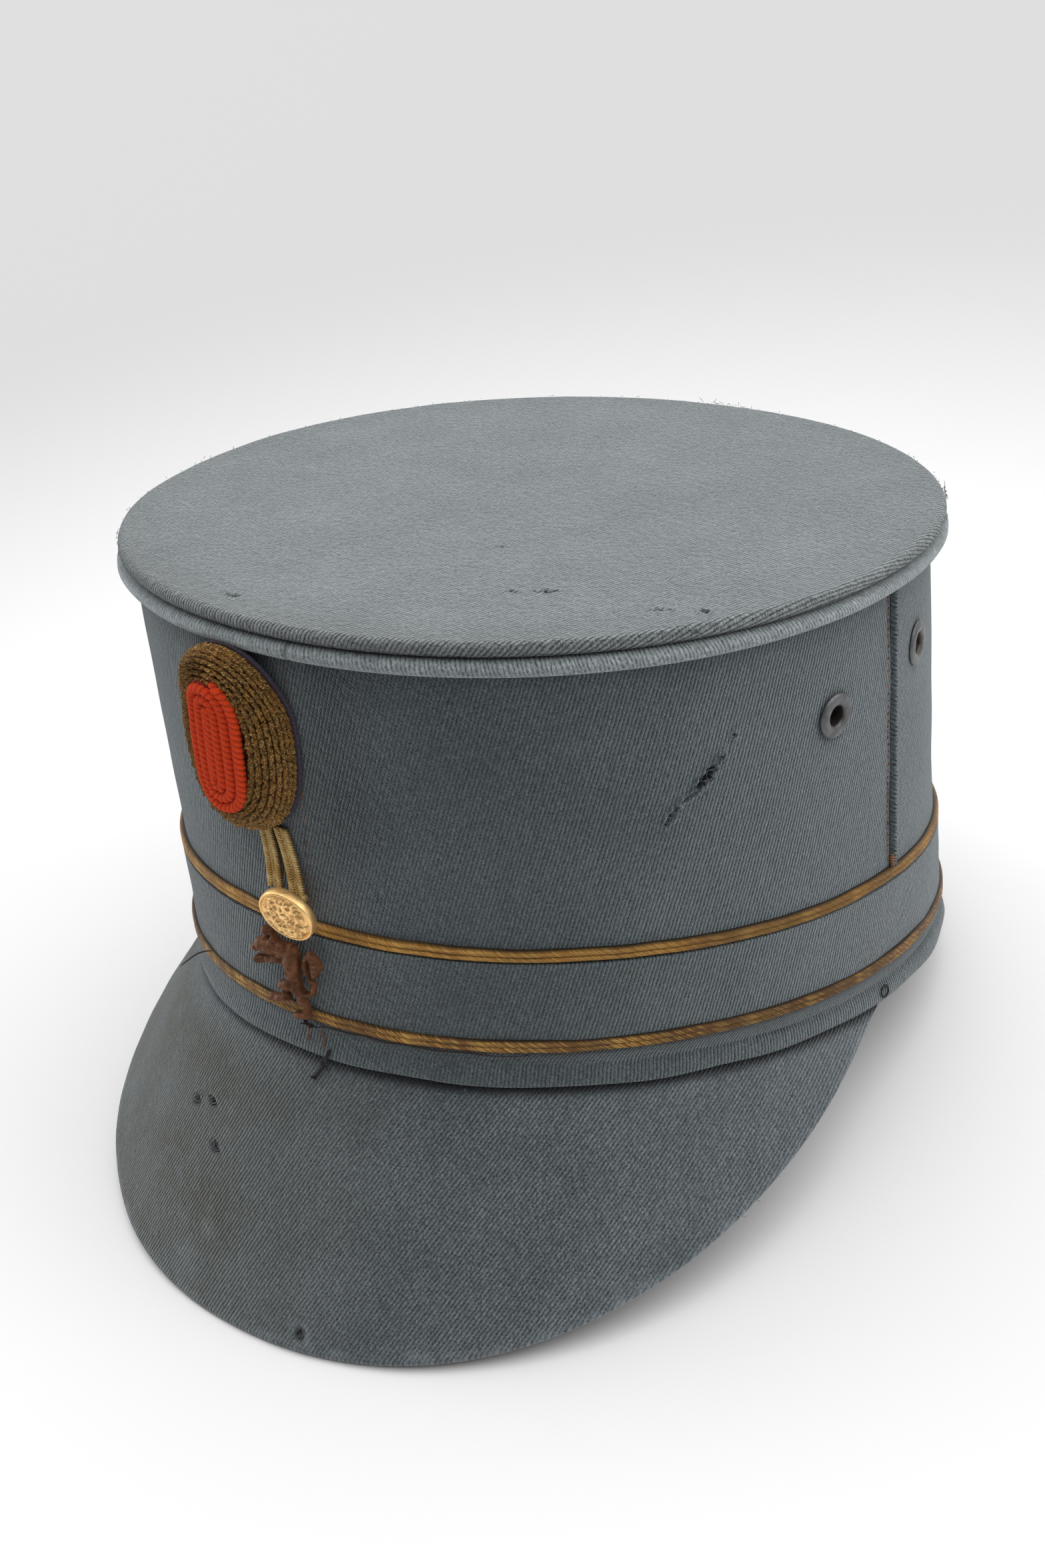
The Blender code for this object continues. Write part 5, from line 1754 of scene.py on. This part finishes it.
@dataclass
class Loop:
    """Two legs of a flat plaited loop from the cockade down to the button."""

    cockade: Cockade
    width: float = 0.0040
    depth: float = 0.0012
    lift: float = 0.0022
    sides: tuple[tuple[str, float, float], ...] = (("right", -0.0027, 0.0004), ("left", 0.0019, 0.0066))
    button_height: float = 0.0396
    shank_radius: float = 0.0015

    def backing_foot(self, side: float) -> float:
        """Height of the backing's lower edge at a distance to the side."""
        half_width = self.cockade.half_width + self.cockade.backing_margin
        half_length = self.cockade.half_length + self.cockade.backing_margin
        share = min(1.0, abs(side - self.cockade.side) / half_width)
        drop = half_length * (1.0 - share**self.cockade.fullness) ** (1.0 / self.cockade.fullness)
        return self.cockade.middle() + self.cockade.raise_by - drop + 0.5 * MM

    def build(self) -> None:
        """Builds both legs with their ridges and herringbone plait."""
        gold = GoldThread("loop_gold", gold=(0.74, 0.47, 0.150), bright=(1.0, 0.76, 0.34), pitch=0.50, slant=0.8, worn=0.2)
        material = gold.make()
        half = self.width / 2.0
        for key, top_side, end_side in self.sides:
            end = self.button_height + self.shank_radius + 2.0 * HAT.gap
            top = self.backing_foot(min((top_side - half, top_side, top_side + half), key=self.backing_foot))
            share = np.linspace(0.0, 1.0, 110)[:, None]
            place = np.linspace(-1.0, 1.0, 21)[None, :]
            middle = end_side + (top_side - end_side) * share
            height = end + (top - 2.0 * HAT.gap - end) * share
            back = HAT.gap + self.lift * (1.0 - share) ** 2
            strand = np.floor((place + 1.0) * 1.4999)
            within = (place + 1.0) * 1.5 - strand
            rounded = np.sqrt(np.clip(1.0 - (within * 2.0 - 1.0) ** 2, 0.0, 1.0))
            crest = np.where(strand == 1.0, 0.62, 1.0)
            plait = 0.06 * np.sin((height / MM + (within - 0.5) * np.where(strand == 1.0, 0.9, -0.9)) * 2.0 * math.pi / 0.62)
            out = back + self.depth * crest * (0.30 + 0.70 * rounded + plait * rounded)
            grid = HAT.front(middle + place * half, height, out)
            flat = HAT.front(middle + np.array([[1.0, -1.0]]) * half, height, back)
            grid = np.concatenate([grid, flat, grid[:, :1]], axis=1)
            along = np.broadcast_to(height / MM, out.shape)
            # The third value is painted shade at the edges of the strands, where they meet.
            weave = stack(along, (within * 2.0 - 1.0) * np.where(strand == 1.0, -1.0, 1.0), 0.8 * (1.0 - rounded) ** 2)
            weave = np.concatenate([weave, np.repeat(weave[:, -1:], 3, axis=1)], axis=1)
            piece = skin(f"loop_braid_{key}", grid, {"weave": weave}, False, True, Ends.ROWS, sharp=80.0)
            fit(piece, [material], "gold_braid", f"loop_cord_{key}")


@dataclass
class Button:
    """Gilt button with a low cast relief, tipped by the pull of its loop."""

    side: float = 0.0058
    height: float = 0.0396
    radius: float = 0.0067
    thickness: float = 0.0026
    dome: float = 0.0005
    stand: float = 0.0042
    shank_radius: float = 0.0015
    turn: float = math.radians(3.0)
    tilt: float = math.radians(15.0)

    def build(self) -> None:
        """Builds the drum, its rim and its relief."""
        edge = self.stand + self.thickness
        outline = [(self.shank_radius, 0.0), (self.shank_radius, self.stand), (self.radius * 0.90, self.stand)]
        outline += [(self.radius * 0.97, self.stand + 0.3 * MM), (self.radius, self.stand + 0.9 * MM)]
        outline += [(self.radius, edge - 0.45 * MM), (self.radius * 0.985, edge - 0.15 * MM), (self.radius * 0.955, edge)]
        outline += [(self.radius * 0.92, edge - 0.05 * MM), (self.radius * 0.90, edge - 0.32 * MM)]
        face = np.linspace(0.88, 0.02, 40)
        outline += [(self.radius * s, edge - 0.32 * MM + (self.dome + 0.15 * MM) * (1.0 - s**2)) for s in face]
        rings = np.array(outline)
        turn = np.linspace(0.0, 2.0 * math.pi, 221)[None, :]
        x = rings[:, :1] * np.cos(turn)
        y = rings[:, :1] * np.sin(turn)
        z = np.broadcast_to(rings[:, 1:], x.shape).copy()
        on_face = np.zeros_like(x)
        on_face[-40:] = ease(0.88 - face, 0.0, 0.06)[:, None]
        figure = self.relief(x / MM, y / MM)
        z += on_face * figure * 0.50 * MM
        # The low parts of the relief are painted darker and browner.
        hollow = np.clip(0.55 - figure, 0.0, 1.0) * 1.1 * on_face
        lean = Matrix.Rotation(self.turn, 4, "Y") @ Matrix.Rotation(self.tilt, 4, "X")
        angle = float(HAT.front_angle(np.array(self.side), self.height))
        lift = HAT.gap + self.shank_radius * math.sin(self.tilt)
        matrix = np.array(wall_matrix(angle, self.height, lift) @ lean)
        local = stack(x, y, z) @ matrix[:3, :3].T + matrix[:3, 3]
        weave = stack(x / MM, y / MM, np.clip(hollow, 0.0, 0.9))
        piece = skin("gilt_button", unsettle(local), {"weave": weave}, False, True, Ends.ROWS)
        gilt = Metal("gilt", (0.98, 0.64, 0.27), (0.66, 0.38, 0.13), (0.34, 0.17, 0.05), 0.88, 0.28, 0.50, 0.20)
        fit(piece, [gilt.make()], "button_gold", "button")

    def relief(self, x: np.ndarray, y: np.ndarray) -> np.ndarray:
        """Height of the worn cast figure on the face, from 0 to 1."""
        folds = np.abs(ripple(x, y, 1.5, 94, 14))
        lumps = 0.55 - 1.25 * folds + 0.45 * ripple(x, y, 0.70, 92, 16)
        return ease(lumps, -0.40, 0.65)


@dataclass
class Lion:
    """Rampant lion in dark bronze, cast in low relief with a flat back."""

    side: float = 0.0008
    height: float = 0.0192
    size: float = 0.0216
    thickness: float = 0.0022
    swelling: float = 0.0026
    crease: float = 0.0007
    crease_reach: float = 0.00022
    grain: float = 0.00022
    limbs: tuple[tuple[float, float, float, float, float, float], ...] = (
        (0.12, 0.34, 0.12, 0.02, 0.125, 0.085),
        (0.12, 0.02, 0.17, -0.10, 0.085, 0.085),
        (0.10, 0.35, -0.06, 0.36, 0.115, 0.100),
        (-0.06, 0.36, -0.26, 0.33, 0.100, 0.095),
        (-0.28, 0.31, -0.38, 0.27, 0.070, 0.045),
        (-0.22, 0.41, -0.19, 0.45, 0.040, 0.030),
        (-0.02, 0.38, -0.12, 0.50, 0.060, 0.045),
        (-0.12, 0.50, -0.20, 0.53, 0.050, 0.040),
        (-0.04, 0.24, -0.24, 0.17, 0.065, 0.045),
        (-0.24, 0.17, -0.35, 0.14, 0.045, 0.055),
        (0.10, -0.02, -0.04, -0.08, 0.080, 0.065),
        (-0.04, -0.08, 0.00, -0.20, 0.055, 0.040),
        (0.00, -0.21, -0.22, -0.27, 0.042, 0.045),
        (0.17, -0.10, 0.24, -0.22, 0.080, 0.050),
        (0.24, -0.22, 0.25, -0.32, 0.045, 0.040),
        (0.25, -0.34, 0.10, -0.38, 0.045, 0.045),
        (0.22, -0.10, 0.36, -0.06, 0.035, 0.030),
        (0.36, -0.06, 0.39, 0.07, 0.030, 0.030),
        (0.39, 0.07, 0.31, 0.14, 0.030, 0.030),
        (0.31, 0.14, 0.30, 0.31, 0.030, 0.030),
        (0.30, 0.31, 0.38, 0.41, 0.030, 0.035),
        (0.38, 0.41, 0.47, 0.35, 0.040, 0.050),
        (0.46, 0.30, 0.42, 0.18, 0.070, 0.035),
    )

    def field(self, x: np.ndarray, y: np.ndarray) -> np.ndarray:
        """Height of the relief above the back, in metres, and below zero outside the figure.

        Args:
            x: Places to the side of the badge's middle, in metres.
            y: Places above it, in metres.

        Returns:
            The height at each place.
        """
        thickest = self.size * max(max(limb[4:]) for limb in self.limbs)
        best = np.full(x.shape, -1.0)
        second = np.full(x.shape, -1.0)
        for side, up, far_side, far_up, radius, far_radius in self.limbs:
            start = np.array([side, up]) * self.size
            run = np.array([far_side, far_up]) * self.size - start
            share = np.clip(((x - start[0]) * run[0] + (y - start[1]) * run[1]) / (run @ run), 0.0, 1.0)
            away = np.hypot(x - start[0] - share * run[0], y - start[1] - share * run[1])
            thick = (radius + (far_radius - radius) * share) * self.size
            swell = np.sqrt(np.clip(1.0 - (away / thick) ** 2, 0.0, None))
            tall = self.swelling * swell * np.sqrt(thick / thickest) + 0.35 * MM
            tall = np.where(away < thick, tall, -1.0)
            second = np.maximum(second, np.minimum(best, tall))
            best = np.maximum(best, tall)
        crease = np.exp(-(((best - second) / self.crease_reach) ** 2)) * (second > 0.0)
        return np.where(best > 0.0, np.maximum(best - self.crease * crease, 0.3 * MM), -1.0)

    def build(self) -> None:
        """Builds the badge by casting its relief over a fine grid."""
        half = self.size * 0.62
        steps = int(2.0 * half / self.grain)
        line = np.linspace(-half, half, steps)
        x, y = np.meshgrid(line, line)
        tall = self.field(x, y)
        rough = 0.20 * ripple(x / MM, y / MM, 0.8, 101, 16) + 0.14 * ripple(x / MM, y / MM, 2.2, 102, 10)
        inside = tall > 0.0
        tall = np.where(inside, tall + rough * MM, 0.0)
        points = []
        index = {}
        faces = []
        hollow = []
        cells = inside[:-1, :-1] & inside[1:, :-1] & inside[:-1, 1:] & inside[1:, 1:]
        for row, column in zip(*np.nonzero(cells)):
            corner = []
            for a, b in ((0, 0), (0, 1), (1, 1), (1, 0)):
                key = (row + a, column + b)
                if key not in index:
                    index[key] = len(points)
                    points.append((x[key], y[key], tall[key]))
                corner.append(index[key])
            faces.append(corner)
        front = bmesh.new()
        verts = [front.verts.new(point) for point in points]
        for corner in faces:
            front.faces.new([verts[item] for item in corner])
        for _ in range(2):
            bmesh.ops.smooth_vert(front, verts=front.verts, factor=0.5, use_axis_x=True, use_axis_y=True, use_axis_z=True)
        rim = [edge for edge in front.edges if edge.is_boundary]
        walls = bmesh.ops.extrude_edge_only(front, edges=rim)
        low = [item for item in walls["geom"] if isinstance(item, bmesh.types.BMVert)]
        for vertex in low:
            vertex.co.z = 0.0
        bottom = [item for item in walls["geom"] if isinstance(item, bmesh.types.BMEdge) and item.is_boundary]
        bmesh.ops.holes_fill(front, edges=bottom, sides=0)
        bmesh.ops.recalc_face_normals(front, faces=front.faces)
        mesh = bpy.data.meshes.new("lion_cast")
        front.to_mesh(mesh)
        front.free()
        stand = 3.0 * HAT.gap + HAT.band_thickness + HAT.lower_braid_depth
        angle = float(HAT.front_angle(np.array(self.side), self.height))
        mesh.transform(wall_matrix(angle, self.height, stand))
        piece = place("lion_cast", mesh, 70.0)
        bronze = Metal("bronze", (0.156, 0.060, 0.022), (0.072, 0.027, 0.010), (0.016, 0.007, 0.004), 0.55, 0.42, 0.70, 0.7, 1100.0, 0.00014)
        fit(piece, [bronze.make()], "badge_bronze", "lion_badge")


@dataclass
class Stitching:
    """Brown sewing thread: the running stitches of the front seam and side seams, and the copper ends."""

    thread: float = 0.00013
    front_seam: tuple[tuple[float, float], ...] = ((8.6, 97.0), (8.8, 80.0), (9.1, 63.0), (8.2, 50.0), (7.4, 40.0))
    seam_angle: float = math.radians(94.9)
    ends: tuple[tuple[tuple[float, float], ...], ...] = (
        ((3.1, 7.9), (3.5, 6.0), (2.8, 4.2), (3.2, 2.2)),
        ((3.7, 7.2), (3.2, 5.4), (3.9, 3.4)),
        ((7.6, 8.6), (7.2, 6.4), (7.6, 4.4), (7.0, 1.9)),
        ((8.1, 7.6), (7.8, 5.2), (8.0, 2.8)),
    )

    def stitch(self, side: tuple[float, float], up: tuple[float, float], arch: float, foot: float) -> np.ndarray:
        """One stitch on the front of the hat that dives into the cloth at both ends."""
        share = np.linspace(0.0, 1.0, 7)
        out = foot + (np.sin(share * math.pi) ** 0.6 * arch - 0.12) * MM
        x = (side[0] + (side[1] - side[0]) * share) * MM
        height = (up[0] + (up[1] - up[0]) * share) * MM
        return HAT.front(x, height, out)

    def build(self) -> None:
        """Builds the stitches of the seams and the loose copper ends."""
        rng = np.random.default_rng(201)
        paths = []
        heights = [high for _, high in self.front_seam][::-1]
        sides = [side for side, _ in self.front_seam][::-1]
        up = 36.5
        while up < 96.0:
            length = rng.uniform(1.7, 2.4)
            side = float(np.interp(up, heights, sides)) + rng.uniform(-0.12, 0.12)
            paths.append(self.stitch((side, side + rng.uniform(-0.15, 0.15)), (up, up + length), 0.24, 0.05 * MM))
            up += length + rng.uniform(0.7, 1.1)
        for way in Side:
            top = float(HAT.wall_height(np.array(self.seam_angle))) / MM
            up = 36.0
            while up < top - 1.5:
                length = rng.uniform(0.8, 1.5)
                share = np.linspace(0.0, 1.0, 6)
                angle = np.full(6, (self.seam_angle + rng.uniform(-0.0016, 0.0016)) * way.value)
                out = (np.sin(share * math.pi) ** 0.6 * 0.42 - 0.08) * MM
                paths.append(HAT.wall(angle, (up + length * share) * MM, out))
                up += length + rng.uniform(0.25, 0.7)
        for line in self.ends:
            corners = np.array(line)
            share = np.linspace(0.0, len(corners) - 1.0, 12)
            x = np.interp(share, np.arange(len(corners)), corners[:, 0])
            height = np.interp(share, np.arange(len(corners)), corners[:, 1])
            out = HAT.gap + HAT.band_thickness + (0.35 + 0.30 * ripple(height, x, 1.6, 205)) * MM
            paths.append(HAT.front(x * MM, height * MM, out + 0.4 * MM))
        piece = threads("seam_stitches", paths, self.thread)
        brown = Cord("stitch_copper", (0.30, 0.115, 0.050), (0.11, 0.040, 0.018), (0.46, 0.22, 0.11), 0.30, 0.7, 0.2)
        fit(piece, [brown.make()], "gold_braid")
        self.build_bound_ends(brown)

    def build_bound_ends(self, brown: Cord) -> None:
        """Builds the copper thread wound round the foot of each side seam."""
        paths = []
        for way in Side:
            share = np.linspace(0.0, 1.0, 90)
            turn = share * 2.0 * math.pi * 6.0
            height = (33.8 + 4.0 * share) * MM
            angle = (math.radians(96.0) + 0.0105 * np.cos(turn) * (0.6 + 0.4 * share)) * way.value
            out = (0.55 + 0.55 * np.sin(turn)) * MM
            paths.append(HAT.wall(angle, height, out))
        piece = threads("seam_bound_ends", paths, 0.00028, 7)
        fit(piece, [replace(brown, name="bound_copper", colour=(0.42, 0.185, 0.085)).make()], "gold_braid")


@dataclass
class LooseThreads:
    """Dark sewing thread that has come away below the lower braid and at the hem."""

    braid_line: tuple[tuple[float, float, float], ...] = (
        (3.2, 8.6, 2.2), (4.6, 8.0, 3.0), (5.6, 8.9, 3.1), (6.6, 8.1, 2.8), (8.4, 8.6, 2.5), (11.0, 8.7, 2.3),
        (14.5, 8.6, 2.2), (19.0, 8.9, 2.1), (24.0, 8.5, 2.2), (29.5, 8.8, 2.1), (36.0, 8.3, 2.1), (43.0, 8.4, 2.0),
        (50.0, 8.1, 2.1), (57.0, 8.3, 1.9),
    )
    tail: tuple[tuple[float, float, float], ...] = (
        (9.4, 3.2, 2.6), (8.8, 1.6, 3.6), (8.0, -0.4, 3.5), (7.0, -2.0, 3.8), (6.2, -3.2, 4.1), (5.6, -4.0, 4.4),
    )
    left_end: tuple[tuple[float, float, float], ...] = (
        (-34.6, 12.0, 2.0), (-36.6, 11.4, 3.2), (-38.8, 10.2, 4.6), (-41.0, 8.2, 6.2), (-43.0, 5.9, 8.2),
    )
    knots: tuple[tuple[float, float, float], ...] = ((4.2, 8.5, 2.6), (5.6, 8.3, 2.9), (5.6, -4.1, 4.5), (8.2, -0.2, 3.6))

    def route(self, line: tuple[tuple[float, float, float], ...], count: int) -> np.ndarray:
        """A smooth route through points given by side, height and stand-off in millimetres."""
        points = np.array(line)
        share = np.linspace(0.0, len(points) - 1.0, count)
        whole = np.clip(np.floor(share).astype(int), 0, len(points) - 2)
        part = (share - whole)[:, None]
        near = [points[np.clip(whole + step, 0, len(points) - 1)] for step in (-1, 0, 1, 2)]
        bend = 2.0 * near[1] + (near[2] - near[0]) * part
        bend = bend + (2.0 * near[0] - 5.0 * near[1] + 4.0 * near[2] - near[3]) * part**2
        bend = bend + (3.0 * near[1] - near[0] - 3.0 * near[2] + near[3]) * part**3
        smooth = bend / 2.0 * MM
        return HAT.front(smooth[:, 0], smooth[:, 1], smooth[:, 2])

    def build(self) -> None:
        """Builds the dark line, the tail, the left end and their knots."""
        rng = np.random.default_rng(211)
        paths = [self.route(self.braid_line, 160), self.route(self.tail, 30), self.route(self.left_end, 24)]
        for shift in (0.00028, 0.00054, 0.00080):
            paths.append(self.route(self.tail, 30) + np.array([shift, -0.0001, 0.0001]))
        turn = np.linspace(0.0, 9.0, 40)
        curl = math.radians(91.7) + 0.018 * np.cos(turn) * (1.0 - turn / 16.0)
        paths.append(HAT.wall(curl, (2.8 + 1.6 * np.sin(turn)) * MM, (2.4 + 0.08 * turn) * MM))
        for side, up, out in self.knots:
            for _ in range(9):
                way = rng.normal(0.0, 1.0, (4, 3))
                offsets = np.cumsum(way, axis=0) * 0.36
                line = tuple((side + a, up + b * 0.6, out + abs(c) * 0.4) for a, b, c in offsets)
                paths.append(self.route(line, 9))
        piece = threads("dark_threads", paths, 0.00021)
        dark = Cord("dark_thread", (0.022, 0.018, 0.018), (0.008, 0.007, 0.008), (0.060, 0.036, 0.028), 0.4, 0.8, 0.1)
        fit(piece, [dark.make()], "gold_braid")


@dataclass
class LooseWool:
    """Short wool fibres that stand out from torn lips, moth holes and rubbed edges."""

    wall: Wall
    visor: Visor
    fibre: float = 0.00006
    tear_fibres: int = 60
    edge_fibres: int = 520
    frays: tuple[tuple[float, int], ...] = ((-176.0, 40), (-171.0, 24), (126.0, 32), (18.0, 20), (60.0, 18))

    def hair(self, root: np.ndarray, out: np.ndarray, side: np.ndarray, up: np.ndarray, length: float,
             rng: np.random.Generator) -> np.ndarray:
        """One curled fibre.

        Args:
            root: Where it leaves the cloth.
            out: Direction out of the cloth.
            side: Direction to the side along the cloth.
            up: Direction up the cloth.
            length: Its length.
            rng: Source of chance.

        Returns:
            Points along it.
        """
        share = np.linspace(0.0, 1.0, 5)[:, None]
        heading = rng.uniform(0.0, 2.0 * math.pi)
        curl = rng.uniform(0.0, 2.0 * math.pi)
        flat = side * math.cos(heading) + up * math.sin(heading)
        bent = side * math.cos(curl) + up * math.sin(curl)
        rise = rng.uniform(0.15, 0.75)
        return root + length * (share * (flat * 0.8 + out * rise) + share**2 * (bent * 0.7 - out * 0.2))

    def build(self) -> None:
        """Builds the fibres of the tears, the rolled edge, the welt and the visor's edge."""
        rng = np.random.default_rng(221)
        paths = []
        steps = np.linspace(-math.pi, math.pi, 2001)
        arcs = HAT.arc(steps, 0.06) / MM
        for slit in self.wall.slits():
            run = np.array(slit.end) - np.array(slit.start)
            across = np.array([-run[1], run[0]]) / max(np.hypot(*run), 1e-6)
            count = int(self.tear_fibres * min(1.0, 0.15 + np.hypot(*run) / 6.0))
            for _ in range(count):
                reach = slit.half_width * rng.uniform(0.5, 1.4) * rng.choice([-1.0, 1.0])
                spot = np.array(slit.start) + run * rng.uniform(-0.12, 1.12) + across * reach
                angle = np.interp(spot[0], arcs, steps)
                point, side, up, out = HAT.wall_axes(np.array(angle), spot[1] * MM)
                paths.append(self.hair(point + out * 0.1 * MM, out, side, up, rng.uniform(0.5, 1.7) * MM, rng))
        spots = [(rng.uniform(-180.0, 180.0), rng.uniform(0.4, 0.9)) for _ in range(self.edge_fibres)]
        for centre, count in self.frays:
            spots += [(centre + rng.normal(0.0, 1.6), rng.uniform(0.5, 1.4)) for _ in range(count)]
        for degrees, length in spots:
            angle = np.array(math.radians(degrees))
            welt = rng.uniform() < 0.35 and length < 0.9
            grow = HAT.welt_depth + 0.8 * MM if welt else HAT.disc_overhang - 0.6 * MM
            rise = -HAT.welt_width / 2.0 if welt else rng.uniform(0.4, 1.0) * HAT.disc_thickness
            point = HAT.crown(angle, grow, rise)
            out = unit(HAT.crown(angle, grow + MM, rise) - point + 0.3 * (HAT.crown(angle, grow, rise + MM) - point))
            side = unit(HAT.crown(angle + 0.01, grow, rise) - point)
            paths.append(self.hair(point, out, side, np.cross(out, side), length * MM, rng))
        for _ in range(220):
            share = np.array(rng.choice([rng.uniform(-0.9, 0.9), rng.normal(0.268, 0.03), rng.normal(0.10, 0.02)]))
            reach = self.visor.outline(share)
            point = self.visor.leaf(share, reach) - self.visor.normal(share, reach) * rng.uniform(0.0, 0.8) * MM
            out = unit(self.visor.leaf(share, reach + MM) - self.visor.leaf(share, reach))
            side = unit(self.visor.leaf(share + 0.01, reach) - self.visor.leaf(share, reach))
            paths.append(self.hair(point, out, side, self.visor.normal(share, reach), rng.uniform(0.3, 1.0) * MM, rng))
        piece = threads("loose_wool", paths, self.fibre, 4)
        wool = Cord("loose_wool_fibre", (0.15, 0.19, 0.21), (0.06, 0.08, 0.09), (0.32, 0.37, 0.39), 0.5, 0.9, 0.2)
        fit(piece, [wool.make()], "wall_cloth")


@dataclass(frozen=True)
class Viewpoint:
    """Camera of the photograph, in the upright hat's own frame."""

    focal_pixels: float = 3262.7
    picture_height: float = 2352.0
    azimuth: float = math.radians(37.79)
    elevation: float = math.radians(20.68)
    distance: float = 0.5221
    target: tuple[float, float, float] = (0.0, -0.02315, 0.03954)
    roll: float = math.radians(1.15)

    def build(self) -> None:
        """Makes the camera and gives it to the scene."""
        back = np.array([
            math.sin(self.azimuth) * math.cos(self.elevation),
            -math.cos(self.azimuth) * math.cos(self.elevation),
            math.sin(self.elevation),
        ])
        place_at = np.array(self.target) + back * self.distance
        right = unit(np.cross(-back, np.array([0.0, 0.0, 1.0])))
        up = np.cross(right, -back)
        rolled_right = right * math.cos(self.roll) + up * math.sin(self.roll)
        rolled_up = up * math.cos(self.roll) - right * math.sin(self.roll)
        origin = HAT.settle(place_at)
        axes = [HAT.settle(place_at + axis) - origin for axis in (rolled_right, rolled_up, back)]
        matrix = Matrix([Vector(axis) for axis in axes]).transposed().to_4x4()
        matrix.translation = Vector(origin)
        data = bpy.data.cameras.new("photo_camera")
        data.sensor_width = 36.0
        data.lens = self.focal_pixels / self.picture_height * data.sensor_width
        data.clip_start = 0.01
        camera = bpy.data.objects.new("photo_camera", data)
        bpy.context.scene.collection.objects.link(camera)
        camera.matrix_world = matrix
        bpy.context.scene.camera = camera


@dataclass(frozen=True)
class Studio:
    """White paper floor under a soft sky that is brightest overhead and behind the hat."""

    floor_half: float = 6.0
    low_light: float = 0.11
    high_light: float = 2.00
    brightest: tuple[float, float, float] = (0.0, 0.36, 0.93)
    window_power: float = 52.0
    fill_power: float = 40.0

    def build(self) -> None:
        """Lays the floor and sets the lights."""
        mesh = bpy.data.meshes.new("studio_floor")
        half = self.floor_half
        mesh.from_pydata([(-half, -half, 0.0), (half, -half, 0.0), (half, half, 0.0), (-half, half, 0.0)], [], [(0, 1, 2, 3)])
        floor = place("studio_floor", mesh)
        floor.data.materials.append(Paper().make())
        floor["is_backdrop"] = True
        world = bpy.data.worlds.new("soft_sky")
        world.use_nodes = True
        bpy.context.scene.world = world
        tree = world.node_tree
        way = tree.nodes.new("ShaderNodeTexCoord").outputs["Generated"]
        lean = tree.nodes.new("ShaderNodeVectorMath")
        lean.operation = "DOT_PRODUCT"
        lean.inputs[1].default_value = self.brightest
        tree.links.new(way, lean.inputs[0])
        height = tree.nodes.new("ShaderNodeMapRange")
        height.interpolation_type = "SMOOTHSTEP"
        tree.links.new(lean.outputs["Value"], height.inputs[0])
        for socket, value in zip(height.inputs[1:5], (0.20, 0.95, self.low_light, self.high_light)):
            socket.default_value = value
        sky = tree.nodes["Background"]
        sky.inputs["Color"].default_value = (1.0, 0.995, 1.0, 1.0)
        tree.links.new(height.outputs[0], sky.inputs["Strength"])
        self.lamp("window", (-4.3, -0.4, 1.4), 2.4, self.window_power)
        self.lamp("fill", (3.4, 1.5, 1.8), 2.6, self.fill_power)
        bpy.context.scene.view_settings.view_transform = "Standard"

    def lamp(self, name: str, at: tuple[float, float, float], size: float, power: float) -> None:
        """Hangs a square soft light that faces the hat."""
        data = bpy.data.lights.new(name, "AREA")
        data.size = size
        data.energy = power
        lamp = bpy.data.objects.new(name, data)
        bpy.context.scene.collection.objects.link(lamp)
        lamp.location = at
        lamp.rotation_mode = "QUATERNION"
        lamp.rotation_quaternion = (Vector((0.0, 0.0, 0.06)) - Vector(at)).to_track_quat("-Z", "Y")


@dataclass
class SizeNote:
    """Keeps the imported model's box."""

    packed: list[list[float]] = field(default_factory=list)

    def start(self) -> None:
        """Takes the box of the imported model."""
        self.packed = [list(corner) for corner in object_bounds()]

    def write(self) -> None:
        """Writes nothing."""


def main() -> None:
    """Dresses the hat piece by piece."""
    logging.basicConfig(level=logging.INFO, format="%(message)s")
    note = SizeNote()
    note.start()
    Viewpoint().build()
    Studio().build()
    Crown().build()
    Welt().build()
    wall = Wall()
    wall.build()
    Band().build()
    upper_back = HAT.gap
    lower_back = 2.0 * HAT.gap + HAT.band_thickness
    Braid("braid_upper", "upper_braid", HAT.upper_braid_height, 0.52 * HAT.upper_braid_depth, upper_back).build()
    Braid(
        "braid_lower", "lower_braid", HAT.lower_braid_height, 0.46 * HAT.lower_braid_depth, lower_back,
        gold=(0.30, 0.128, 0.017), worn=0.65, seed=55,
    ).build()
    for side in Side:
        SideSeam(side).build()
    visor = Visor()
    visor.build()
    metal = Metal("eyelet_steel", (0.135, 0.142, 0.142), (0.075, 0.075, 0.072), (0.035, 0.018, 0.010), 0.75, 0.34, 0.55, 0.6).make()
    for side in Side:
        Eyelet(side, "front", 82.7, 79.7).build(metal)
        Eyelet(side, "back", 104.5, 87.5).build(metal)
    cockade = Cockade()
    cockade.build()
    Loop(cockade).build()
    Button().build()
    Lion().build()
    Stitching().build()
    LooseThreads().build()
    LooseWool(wall, visor).build()
    note.write()


if __name__ == "__main__":
    main()
